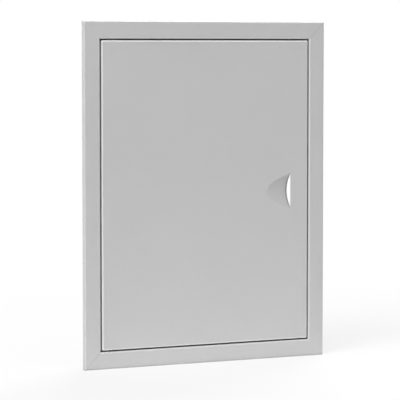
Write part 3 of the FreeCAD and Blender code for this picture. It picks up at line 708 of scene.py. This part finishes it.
def rivet_spots(sizes):
    """Centre and direction of each corner rivet, on the throat's face."""
    y = (corner_y + corner_back_y) / 2
    spots = []
    for right in (-1, 1):
        for up in (-1, 1):
            for inset in (sizes.rivet_inset, sizes.rivet_inset + sizes.rivet_spacing):
                from_corner = corner_leg - inset
                spots.append((Vector((right * throat_x, y, up * (throat_z - from_corner))),
                              Vector((right, 0.0, 0.0))))
                spots.append((Vector((right * (throat_x - from_corner), y, up * throat_z)),
                              Vector((0.0, 0.0, up))))
    return spots


def throat_holes(sizes):
    """Every hole through the throat as (centre, direction out of the throat, radius)."""
    holes = [(spot, outward, sizes.rivet_hole) for spot, outward in rivet_spots(sizes)]
    for catch in CATCHES:
        low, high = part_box("catch_housing_" + catch)
        middle = (low + high) / 2
        for end in (-1, 1):
            spot = Vector((throat_x, middle.y, middle.z + end * sizes.screw_offset))
            holes.append((spot, Vector((1.0, 0.0, 0.0)), sizes.screw_hole))
    wall_y = back_y - sizes.wall_hole_inset
    for right in (-1, 1):
        for up in (-1, 1):
            spot = Vector((right * throat_x, wall_y, up * sizes.wall_hole_spacing / 2))
            holes.append((spot, Vector((right, 0.0, 0.0)), sizes.wall_hole))
    for up in (-1, 1):
        holes.append((Vector((pivot.x, pivot.y, up * throat_z)), Vector((0.0, 0.0, up)), sizes.bush_hole))
    return holes


class Pull:
    """Shape of the finger pull: a trough that slopes down to an upright slot, where its lip is set back."""

    def __init__(self, sizes):
        half = sizes.pull_height / 2
        self.depth, self.gap, self.rim = sizes.pull_depth, sizes.pull_gap, sizes.pull_rim
        self.slot_x = door_high.x - sizes.pull_setback
        self.slope = math.atan2(self.depth, sizes.pull_length)
        sagitta = self.depth * math.cos(self.slope)
        self.radius = (half ** 2 + sagitta ** 2) / (2 * sagitta)
        self.bow = (half ** 2 + self.gap ** 2) / (2 * self.gap)
        rise = -(self.depth + self.rim) * math.cos(self.slope)
        self.tip_z = math.sqrt(self.radius ** 2 - (self.radius + rise) ** 2)
        self.reach = sizes.pull_length + self.rim / math.tan(self.slope) + PULL_MARGIN

    def holds(self, spot):
        """Whether a spot lies in the patch of the door's face that is pressed."""
        return (abs(spot.y - door_low.y) < SAME_PLACE and abs(spot.z) < self.tip_z
                and self.slot_x - self.reach < spot.x < self.slot_x)

    def near_tip(self, spot):
        """Whether a spot lies close to one of the slot's ends."""
        return abs(spot.x - self.slot_x) < PULL_TIP and abs(abs(spot.z) - self.tip_z) < PULL_TIP

    def lip_gap(self, z):
        """Width of the crescent opening at a height."""
        return max(math.sqrt(max(self.bow ** 2 - z ** 2, 0.0)) - self.bow + self.gap, 0.0)

    def sink(self, x, z):
        """How far a point of the face is pressed in, with the trough's rim rounded."""
        rise = math.sqrt(max(self.radius ** 2 - z ** 2, 0.0)) - self.radius
        depth = self.depth + (x - self.slot_x) * math.tan(self.slope) + rise / math.cos(self.slope)
        if depth > self.rim:
            return depth
        return max(depth + self.rim, 0.0) ** 2 / (4 * self.rim)


# Operators

class HATCH_OT_frame(bpy.types.Operator):
    """Fold, mitre and drill the four painted members of the frame"""
    bl_idname = "hatch.frame"
    bl_label = "Frame"

    def execute(self, context):
        sizes = context.scene.hatch_sizes
        holes = throat_holes(sizes)
        welds = [weld for stop in STOPS for weld in weld_spots(stop, sizes)]
        for side, turn, open_end, highlight_inside, highlight_outside in MEMBERS:
            upright = side in ("left", "right")
            half, reach = (half_height, half_width) if upright else (half_width, half_height)
            middle = reach - sizes.flange / 2
            spin = Matrix.Rotation(math.radians(turn), 3, "Y")
            outward = spin @ Vector((0.0, 0.0, 1.0))
            bm = self.fold_member(sizes, half, reach)
            # Painted highlight on the member's folds, lighter on the sides that the light falls on
            mark_fold_highlights(bm, lambda spot: highlight_outside if spot.z > middle else highlight_inside)
            mitres = self.cut_mitres(bm, sizes, half, reach, spin)
            bmesh.ops.rotate(bm, verts=bm.verts, cent=(0.0, 0.0, 0.0), matrix=spin)
            for y in (stop_y - STOP_SPLIT, corner_y - CORNER_SPLIT):
                cut_plane(bm, (0.0, y, 0.0), (0.0, 1.0, 0.0))
            for centre, way, radius in holes:
                if way.dot(outward) > PARALLEL:
                    drill(bm, centre, way, radius)
            for centre, way in welds:
                if way.dot(outward) > PARALLEL:
                    dent(bm, centre, way, sizes.weld_radius, -sizes.weld_depth)
            face_out(bm, spin @ Vector((0.0, 0.0, middle)))
            thicken(bm, sizes.sheet)
            self.finish_edges(bm, sizes, mitres[open_end], mitres[-open_end])
            name = "frame_" + side
            add_piece(bm, name + "_sheet", "frame", "powder_coat", name)
        return {"FINISHED"}

    def fold_member(self, sizes, half, reach):
        """Sheet of one member, lying along X, with its turned edge, flange and throat."""
        inner = reach - sizes.flange
        profile = ((0.0, reach), (front_y, reach), (front_y, inner), (back_y, inner))
        bm = outline_sheet([(-half, y, z) for y, z in profile], (2 * half, 0.0, 0.0))
        round_folds(bm, sizes.fold)
        return bm

    def cut_mitres(self, bm, sizes, half, reach, spin):
        """Cuts the ends of a member; returns the plane of each, as it lies once the member is turned."""
        mitres = {}
        for end in (-1, 1):
            tip = Vector((end * (half - sizes.mitre_gap * math.sqrt(2)), 0.0, reach))
            slant = Vector((end, 0.0, -1.0)).normalized()
            cut_plane(bm, tip, slant, drop=True)
            mitres[end] = (spin @ tip, spin @ slant)
        return mitres

    def finish_edges(self, bm, sizes, open_mitre, tight_mitre):
        """Softens the cut edges, apart from those at the tight mitre, and darkens the open one with painted
        shade.
        """
        bm.normal_update()
        tight = [
            edge for edge in bm.edges
            if all(off_plane(vert.co, tight_mitre) < ON_MITRE for vert in edge.verts)
        ]
        soften(bm, sizes.soft_edge, leave=tight)
        # Painted shade: the paint along the open mitre's groove is darker
        worn = bm.verts.layers.float.new("worn")
        for vert in bm.verts:
            if off_plane(vert.co, open_mitre) < sizes.soft_edge * MITRE_SHADE:
                vert[worn] = 1.0


class HATCH_OT_door(bpy.types.Operator):
    """Fold the door's tray and press its finger pull"""
    bl_idname = "hatch.door"
    bl_label = "Door"

    def execute(self, context):
        sizes = context.scene.hatch_sizes
        pull = Pull(sizes)
        bm = bmesh.new()
        add_block(bm, door_low, door_high)
        round_edges(bm, list(bm.edges), sizes.fold, steps=6)
        # Painted highlight on the door's folds, weaker on the hinge side
        hinge_x = door_low.x + HINGE_FOLD_SHARE * sizes.fold
        mark_fold_highlights(bm, lambda spot: DOOR_HINGE_HIGHLIGHT if spot.x < hinge_x else DOOR_HIGHLIGHT)
        self.open_back(bm, sizes)
        self.press_pull(bm, sizes, pull)
        for up in (-1, 1):
            drill(bm, (pivot.x, pivot.y, door_high.z * up), (0.0, 0.0, 1.0), sizes.pin_bore)
        face_out(bm, (door_low + door_high) / 2)
        thicken(bm, sizes.sheet)
        tips = [edge for edge in bm.edges if pull.near_tip((edge.verts[0].co + edge.verts[1].co) / 2)]
        soften(bm, sizes.soft_edge, leave=tips)
        add_piece(bm, "door_leaf", "door", "powder_coat", "door_panel")
        return {"FINISHED"}

    def open_back(self, bm, sizes):
        """Opens the back inside its lips and slopes the hinge side so that it can swing."""
        middle = Vector((0.0, door_high.y, 0.0))
        low_x = door_low.x + sizes.fold * BACK_START
        high_x, high_z = door_high.x - sizes.door_lip, door_high.z - sizes.door_lip
        back = square_patch(bm, middle, Vector((0.0, 1.0, 0.0)), (low_x, -high_z), (high_x, high_z))
        bmesh.ops.delete(bm, geom=[back], context="FACES_ONLY")
        hinge_y = door_low.y + sizes.hinge_depth
        slope = Vector((hinge_y - door_high.y, sizes.hinge_notch, 0.0)).normalized()
        cut_plane(bm, Vector((door_low.x, hinge_y, 0.0)), slope, drop=True)

    def press_pull(self, bm, sizes, pull):
        """Presses the scoop into the door's face and opens a crescent between its lip and the slot."""
        half = pull.reach / 2
        middle = Vector((pull.slot_x - half, door_low.y, 0.0))
        corners = ((-half, -pull.tip_z), (half, pull.tip_z))
        patch = square_patch(bm, middle, Vector((0.0, -1.0, 0.0)), *corners)
        bmesh.ops.subdivide_edges(bm, edges=list(patch.edges), cuts=PULL_CUTS, use_grid_fill=True)
        scoop = [face for face in bm.faces if len(face.verts) == 4 and pull.holds(face.calc_center_median())]
        slot = dict.fromkeys(
            edge for face in scoop for edge in face.edges
            if all(abs(vert.co.x - pull.slot_x) < SAME_PLACE for vert in edge.verts)
        )
        bmesh.ops.split_edges(bm, edges=list(slot))
        # The paint is darker along the lip, fading out near the slot's tips
        worn = bm.verts.layers.float.new("worn")
        for vert in dict.fromkeys(vert for face in scoop for vert in face.verts):
            inset = pull.slot_x - vert.co.x
            darkening = min(max(2.0 - inset / sizes.lip_dark_width, 0.0), 1.0)
            vert[worn] = darkening * (1.0 - (vert.co.z / pull.tip_z) ** PULL_DARK_POWER)
            vert.co.x -= (1.0 - inset / pull.reach) * pull.lip_gap(vert.co.z)
            vert.co.y += pull.sink(vert.co.x, vert.co.z)


class HATCH_OT_stops(bpy.types.Operator):
    """Fold the door stops and mark their spot welds"""
    bl_idname = "hatch.stops"
    bl_label = "Stops"

    def execute(self, context):
        sizes = context.scene.hatch_sizes
        for name in STOPS:
            low, high, along, across, run = strip_place(name)
            face, sign = throat_side(low, high, across)
            lip = face - sign * stop_leg
            outline = ((face, stop_back_y), (face, stop_y), (lip, stop_y))
            bm = outline_sheet([strip_point(low, along, sideways, y) for sideways, y in outline], run)
            round_folds(bm, sizes.stop_fold, steps=5)
            # Painted highlight on the stops' folds
            mark_fold_highlights(bm, lambda spot: STOP_HIGHLIGHT)
            for centre, way in weld_spots(name, sizes):
                dent(bm, centre, way, sizes.weld_radius, sizes.weld_depth)
            face_out(bm, strip_point(low, along, lip, stop_back_y) + run / 2)
            thicken(bm, sizes.sheet)
            soften(bm, sizes.soft_edge)
            add_piece(bm, name + "_strip", "frame", "powder_coat", name)
        return {"FINISHED"}


class HATCH_OT_seals(bpy.types.Operator):
    """Extrude the hollow rubber seals on the stops"""
    bl_idname = "hatch.seals"
    bl_label = "Seals"

    def execute(self, context):
        sizes = context.scene.hatch_sizes
        for name in SEALS:
            low, high, along, across, run = strip_place(name)
            near, far = low[across], high[across]
            outline = ((near, high.y), (near, low.y), (far, low.y), (far, high.y))
            corners = [strip_point(low, along, sideways, y) for sideways, y in outline]
            bm = outline_sheet(corners, run, closed=True)
            crown = [
                edge for edge in bm.edges
                if len(edge.link_faces) == 2
                and all(abs(vert.co.y - low.y) < SAME_PLACE for vert in edge.verts)
            ]
            round_edges(bm, crown, (far - near) / 2 - sizes.seal_flat, steps=8)
            long_edges = [edge for edge in bm.edges if edge_span(edge, along) > run.length / 2]
            bmesh.ops.subdivide_edges(bm, edges=long_edges, cuts=max(3, round(run.length / SEAL_STEP)))
            for vert in bm.verts:
                share = (high.y - vert.co.y) / (high.y - low.y)
                swell = [0.25 * (1.0 + math.sin(vert.co[along] * rate + shift)) for rate, shift in SEAL_WAVES]
                vert.co.y += sizes.seal_wave * share * sum(swell)
            face_out(bm, (low + high) / 2)
            thicken(bm, sizes.seal_wall)
            soften(bm, sizes.seal_soft)
            add_piece(bm, name + "_strip", "frame", "seal_rubber", name)
        return {"FINISHED"}


class HATCH_OT_corners(bpy.types.Operator):
    """Fold the corner brackets and finish their rivets"""
    bl_idname = "hatch.corners"
    bl_label = "Corner brackets"

    def execute(self, context):
        sizes = context.scene.hatch_sizes
        run = Vector((0.0, corner_back_y - corner_y, 0.0))
        for right, side in ((-1, "left"), (1, "right")):
            for up, level in ((-1, "bottom"), (1, "top")):
                def point(u, v):
                    return Vector((right * (throat_x - u), corner_y, up * (throat_z - v)))

                bm = outline_sheet([point(corner_leg, 0.0), point(0.0, 0.0), point(0.0, corner_leg)], run)
                round_folds(bm, sizes.corner_fold)
                for spot, way in rivet_spots(sizes):
                    if spot.x * right > 0 and spot.z * up > 0:
                        drill(bm, spot, way, sizes.rivet_hole)
                face_out(bm, point(corner_leg, corner_leg) + run / 2)
                thicken(bm, sizes.corner_sheet)
                soften(bm, sizes.soft_edge)
                name = "corner_bracket_" + level + "_" + side
                add_piece(bm, name + "_angle", "frame", "zinc_plate", name)
        dress("corner_rivets", "rivet_aluminium")
        return {"FINISHED"}


class HATCH_OT_catches(bpy.types.Operator):
    """Mould the catch bodies and set their magnets, pole plates and screws"""
    bl_idname = "hatch.catches"
    bl_label = "Catches"

    def execute(self, context):
        sizes = context.scene.hatch_sizes
        for catch in CATCHES:
            plates = "catch_pole_plates_" + catch
            self.mould_body(sizes, "catch_housing_" + catch, plates)
            magnet = "catch_magnet_" + catch
            bm = bmesh.new()
            add_block(bm, *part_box(magnet))
            soften(bm, sizes.magnet_soft)
            add_piece(bm, magnet + "_block", "frame", "magnet_ferrite", magnet)
            low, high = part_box(plates)
            bm = bmesh.new()
            add_block(bm, low, Vector((low.x + sizes.pole_sheet, high.y, high.z)))
            add_block(bm, Vector((high.x - sizes.pole_sheet, low.y, low.z)), high)
            soften(bm, sizes.pole_soft)
            add_piece(bm, plates + "_pair", "frame", "nickel_plate", plates)
        dress("catch_screws", "nickel_plate")
        return {"FINISHED"}

    def mould_body(self, sizes, name, plates):
        """Catch body with two screw ears and a pocket for the magnet and its plates."""
        low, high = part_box(name)
        middle = (low + high) / 2
        ear_x = high.x - sizes.catch_ear
        bm = bmesh.new()
        add_block(bm, Vector((ear_x, low.y, low.z)), high)
        corners = [edge for edge in bm.edges if edge_span(edge, 0) > SAME_PLACE]
        round_edges(bm, corners, sizes.catch_corner, steps=6)
        spot = Vector((ear_x, middle.y, middle.z))
        deep = high.y - low.y
        self.push(bm, spot, Vector((1.0, 0.0, 0.0)), ((-deep, -sizes.catch_half), (deep, sizes.catch_half)),
                  (low.x - ear_x, 0.0, 0.0))
        pocket_low, pocket_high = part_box(plates)
        gap = sizes.pocket_gap
        spot = Vector((ear_x - POCKET_POINT, low.y, middle.z))
        corners = ((pocket_low.x - gap - spot.x, pocket_low.z - gap - spot.z),
                   (ear_x - gap - spot.x, pocket_high.z + gap - spot.z))
        self.push(bm, spot, Vector((0.0, -1.0, 0.0)), corners, (0.0, pocket_high.y + gap - low.y, 0.0))
        soften(bm, sizes.catch_soft, steps=3)
        add_piece(bm, name + "_body", "frame", "catch_plastic", name)

    def push(self, bm, spot, axis, corners, move):
        """Cuts a rectangle out of a face and pulls it out or pushes it in."""
        face = square_patch(bm, spot, axis, *corners)
        grown = bmesh.ops.extrude_discrete_faces(bm, faces=[face])["faces"]
        bmesh.ops.translate(bm, verts=grown[0].verts, vec=move)
        bmesh.ops.recalc_face_normals(bm, faces=bm.faces)


class HATCH_OT_hinge(bpy.types.Operator):
    """Fold the door's brackets and finish the hinge plates, bushes and lower pin"""
    bl_idname = "hatch.hinge"
    bl_label = "Hinge"

    def execute(self, context):
        sizes = context.scene.hatch_sizes
        for name in ("pin_bracket", "pivot_bracket"):
            low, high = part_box(name)
            outline = [(high.x, low.y, low.z), (low.x, low.y, low.z), (low.x, low.y, high.z)]
            ears = [low.z]
            if name == "pin_bracket":
                outline.append((high.x, low.y, high.z))
                ears.append(high.z)
            wide = high.y - low.y
            bm = outline_sheet(outline, (0.0, wide, 0.0))
            ends = [vert for vert in bm.verts if abs(vert.co.x - high.x) < SAME_PLACE]
            bmesh.ops.bevel(bm, geom=ends, offset=wide / 2 * EAR_ROUND, offset_type="OFFSET", segments=10,
                            profile=0.5, affect="VERTICES", material=-1, clamp_overlap=True)
            round_folds(bm, sizes.bracket_fold)
            for z in ears:
                drill(bm, (pivot.x, pivot.y, z), (0.0, 0.0, 1.0), sizes.pin_bore)
            face_out(bm, (high.x, pivot.y, (low.z + high.z) / 2))
            thicken(bm, sizes.bracket_sheet)
            soften(bm, sizes.soft_edge)
            add_piece(bm, name + "_folded", "door", "zinc_plate", name)
        for level in ("top", "bottom"):
            dress("pivot_plate_" + level, "zinc_plate")
            dress("hinge_bush_" + level, "bush_plastic")
        dress("hinge_pin_bottom", "pin_steel")
        return {"FINISHED"}


class HATCH_OT_release_pin(bpy.types.Operator):
    """Wind the spring, mould the grip and finish the sliding pin and its clip"""
    bl_idname = "hatch.release_pin"
    bl_label = "Release pin"

    def execute(self, context):
        sizes = context.scene.hatch_sizes
        dress("hinge_pin_top", "pin_steel")
        dress("pin_clip", "pin_steel")
        self.wind_spring(sizes)
        self.mould_grip(sizes)
        return {"FINISHED"}

    def wind_spring(self, sizes):
        """Compression spring with closed ends, wound at one length; the real one shortens as the pin is
        drawn.
        """
        low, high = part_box("pin_spring")
        wire = sizes.spring_wire / 2
        coil = (high.x - low.x) / 2 - wire
        start = Matrix.Translation((pivot.x + coil, pivot.y, low.z + wire))
        start @= Matrix.Rotation(math.pi / 2, 4, "X")
        bm = bmesh.new()
        ring = bmesh.ops.create_circle(bm, cap_ends=False, radius=wire, segments=WIRE_STEPS, matrix=start)
        first = list(dict.fromkeys(edge for vert in ring["verts"] for edge in vert.link_edges))
        closed_rise = CLOSED_TURNS * sizes.spring_wire * CLOSED_PITCH
        open_rise = high.z - low.z - 2 * wire - 2 * closed_rise
        closed = (CLOSED_TURNS, closed_rise)
        rim = first
        for turns, rise in (closed, (sizes.spring_turns, open_rise), closed):
            steps = round(turns * TURN_STEPS)
            spun = bmesh.ops.spin(bm, geom=rim, cent=pivot, axis=(0.0, 0.0, 1.0), angle=2 * math.pi * turns,
                                  dvec=(0.0, 0.0, rise / steps), steps=steps, use_merge=False)
            rim = [g for g in spun["geom_last"] if isinstance(g, bmesh.types.BMEdge)]
        bmesh.ops.edgeloop_fill(bm, edges=first)
        bmesh.ops.edgeloop_fill(bm, edges=rim)
        bmesh.ops.recalc_face_normals(bm, faces=bm.faces)
        spring = add_piece(bm, "pin_spring_coil", "door", "spring_steel", "pin_spring")
        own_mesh(spring)

    def mould_grip(self, sizes):
        """Ringed sleeve over the end of the pin's handle."""
        low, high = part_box("pin_grip")
        middle = (low + high) / 2
        outside = (high.z - low.z) / 2
        socket_x = low.x + sizes.grip_socket
        profile = [(socket_x, 0.0), (socket_x, sizes.grip_bore), (low.x, sizes.grip_bore)]
        profile += [(low.x + inward, outside - drop) for inward, drop in GRIP_MOUTH]
        pitch = (high.x - low.x - RINGS_SPARE) / sizes.grip_rings
        for ring in range(sizes.grip_rings):
            start = low.x + RINGS_START + ring * pitch
            for share, drop in RING_SHAPE:
                profile.append((start + share * pitch, outside - drop * sizes.ring_depth))
        rounding = sizes.grip_round
        for step in range(1, GRIP_ROUND_STEPS + 1):
            angle = step / GRIP_ROUND_STEPS * math.pi / 2
            profile.append((high.x - rounding + rounding * math.sin(angle),
                            outside - rounding + rounding * math.cos(angle)))
        profile.append((high.x, 0.0))
        bm = bmesh.new()
        row = [bm.verts.new((x, middle.y, middle.z + radius)) for x, radius in profile]
        edges = [bm.edges.new(pair) for pair in zip(row, row[1:])]
        bmesh.ops.spin(bm, geom=row + edges, cent=middle, axis=(1.0, 0.0, 0.0), angle=2 * math.pi,
                       dvec=(0.0, 0.0, 0.0), steps=GRIP_STEPS, use_merge=True)
        bmesh.ops.remove_doubles(bm, verts=bm.verts, dist=SAME_PLACE)
        bmesh.ops.recalc_face_normals(bm, faces=bm.faces)
        add_piece(bm, "pin_grip_sleeve", "release_pin", "grip_vinyl", "pin_grip")


class HATCH_OT_stage(bpy.types.Operator):
    """Lay the floor and set the light and the camera"""
    bl_idname = "hatch.stage"
    bl_label = "Stage"

    def execute(self, context):
        scene = context.scene
        stage = scene.hatch_stage
        scene.view_settings.view_transform = "Standard"
        self.lay_floor(scene)
        self.light_world(scene)
        for name, power, place in LAMPS:
            self.add_lamp(scene, name, place, (0.0, 0.0, 0.0), LAMP_SIZE, getattr(stage, power))
        fill_place = (FILL_X, front_y - FILL_FRONT, cad_low.z - FILL_DROP)
        fill_target = (FILL_X, front_y - FILL_FRONT, 1.0)
        self.add_lamp(scene, "floor_fill_lamp", fill_place, fill_target, FILL_SIZE, stage.fill)
        camera = bpy.data.objects.new("camera", bpy.data.cameras.new("camera"))
        scene.collection.objects.link(camera)
        camera.data.sensor_width = 36.0
        camera.data.lens = stage.lens
        self.aim(camera, stage.camera_place, stage.camera_aim)
        scene.camera = camera
        return {"FINISHED"}

    def aim(self, thing, place, target):
        """Stands a lamp or camera at a place, turned to its target."""
        thing.location = place
        thing.rotation_euler = (Vector(target) - Vector(place)).to_track_quat("-Z", "Y").to_euler()

    def show_rays(self, tree):
        """Factor that is 1 for rays that show a surface to the eye, straight or by reflection."""
        path = add_node(tree, "ShaderNodeLightPath")
        total = path.outputs["Is Camera Ray"]
        for ray in ("Is Glossy Ray", "Is Transmission Ray"):
            inputs = {0: total, 1: path.outputs[ray]}
            total = add_node(tree, "ShaderNodeMath", inputs, operation="MAXIMUM").outputs["Value"]
        return total

    def mix_in(self, tree, share, plain, white, output):
        """Shows a plain shader with a share of a white one."""
        mix = add_node(tree, "ShaderNodeMixShader", {"Fac": share, 1: plain, 2: white})
        tree.links.new(mix.outputs["Shader"], tree.nodes[output].inputs["Surface"])

    def lay_floor(self, scene):
        """Wide pale floor that the hatch stands on."""
        bm = bmesh.new()
        level = Matrix.Translation((0.0, 0.0, cad_low.z - FLOOR_DROP))
        bmesh.ops.create_grid(bm, x_segments=2, y_segments=2, size=FLOOR_SIZE, matrix=level)
        mesh = bpy.data.meshes.new("floor")
        bm.to_mesh(mesh)
        bm.free()
        mesh.materials.append(self.paint_floor(scene))
        floor = bpy.data.objects.new("floor", mesh)
        scene.collection.objects.link(floor)

    def paint_floor(self, scene):
        """Matt pale paint that the eye sees fade to plain white away from the hatch."""
        paint = bpy.data.materials.new("studio_floor")
        paint.use_nodes = True
        tree = paint.node_tree
        shader = tree.nodes["Principled BSDF"]
        shader.inputs["Base Color"].default_value = (*scene.hatch_colours.floor, 1.0)
        shader.inputs["Roughness"].default_value = 0.9
        shader.inputs["Specular IOR Level"].default_value = 0.1
        white = add_node(tree, "ShaderNodeEmission", {"Color": WHITE, "Strength": 1.0})
        place = add_node(tree, "ShaderNodeTexCoord").outputs["Object"]
        reach = add_node(tree, "ShaderNodeVectorMath", {0: place}, operation="LENGTH").outputs["Value"]
        near, far = FLOOR_FADE
        inputs = {"Value": reach, "From Min": near, "From Max": far, "To Min": scene.hatch_stage.floor_white,
                  "To Max": 1.0}
        fade = add_node(tree, "ShaderNodeMapRange", inputs, interpolation_type="SMOOTHSTEP").outputs["Result"]
        share = add_node(tree, "ShaderNodeMath", {0: self.show_rays(tree), 1: fade}, operation="MULTIPLY")
        self.mix_in(tree, share.outputs["Value"], shader.outputs["BSDF"], white.outputs["Emission"],
                    "Material Output")
        return paint

    def light_world(self, scene):
        """Even white light all round, seen as plain white."""
        world = bpy.data.worlds.new("studio")
        world.use_nodes = True
        scene.world = world
        tree = world.node_tree
        sky = tree.nodes["Background"]
        sky.inputs["Color"].default_value = WHITE
        sky.inputs["Strength"].default_value = scene.hatch_stage.sky
        white = add_node(tree, "ShaderNodeBackground", {"Color": WHITE, "Strength": 1.0})
        self.mix_in(tree, self.show_rays(tree), sky.outputs["Background"], white.outputs["Background"],
                    "World Output")

    def add_lamp(self, scene, name, place, target, size, power):
        """Soft rectangular lamp that the camera doesn't see."""
        data = bpy.data.lights.new(name, "AREA")
        data.shape = "RECTANGLE"
        data.size, data.size_y = size
        data.energy = power
        lamp = bpy.data.objects.new(name, data)
        scene.collection.objects.link(lamp)
        self.aim(lamp, place, target)
        lamp.visible_camera = False


PIECES = (
    HATCH_OT_frame, HATCH_OT_door, HATCH_OT_stops, HATCH_OT_seals, HATCH_OT_corners, HATCH_OT_catches,
    HATCH_OT_hinge, HATCH_OT_release_pin, HATCH_OT_stage,
)


class HATCH_PT_panel(bpy.types.Panel):
    """Sizes, colours and pieces of the access hatch"""
    bl_idname = "HATCH_PT_panel"
    bl_label = "Access hatch"
    bl_space_type = "VIEW_3D"
    bl_region_type = "UI"
    bl_category = "Hatch"

    def draw(self, context):
        for group in (context.scene.hatch_sizes, context.scene.hatch_colours, context.scene.hatch_stage):
            column = self.layout.column()
            for name in group.__annotations__:
                column.prop(group, name)
        for piece in PIECES:
            self.layout.operator(piece.bl_idname)


CLASSES = (HatchSizes, HatchColours, HatchStage) + PIECES + (HATCH_PT_panel,)


def register():
    """Adds the classes and the scene's settings."""
    for cls in CLASSES:
        bpy.utils.register_class(cls)
    bpy.types.Scene.hatch_sizes = PointerProperty(type=HatchSizes)
    bpy.types.Scene.hatch_colours = PointerProperty(type=HatchColours)
    bpy.types.Scene.hatch_stage = PointerProperty(type=HatchStage)


def unregister():
    """Takes them out again."""
    del bpy.types.Scene.hatch_stage
    del bpy.types.Scene.hatch_colours
    del bpy.types.Scene.hatch_sizes
    for cls in reversed(CLASSES):
        bpy.utils.unregister_class(cls)


def main():
    """Builds every piece and the stage."""
    register()
    bpy.ops.hatch.frame()
    bpy.ops.hatch.door()
    bpy.ops.hatch.stops()
    bpy.ops.hatch.seals()
    bpy.ops.hatch.corners()
    bpy.ops.hatch.catches()
    bpy.ops.hatch.hinge()
    bpy.ops.hatch.release_pin()
    bpy.ops.hatch.stage()


if __name__ == "__main__":
    main()
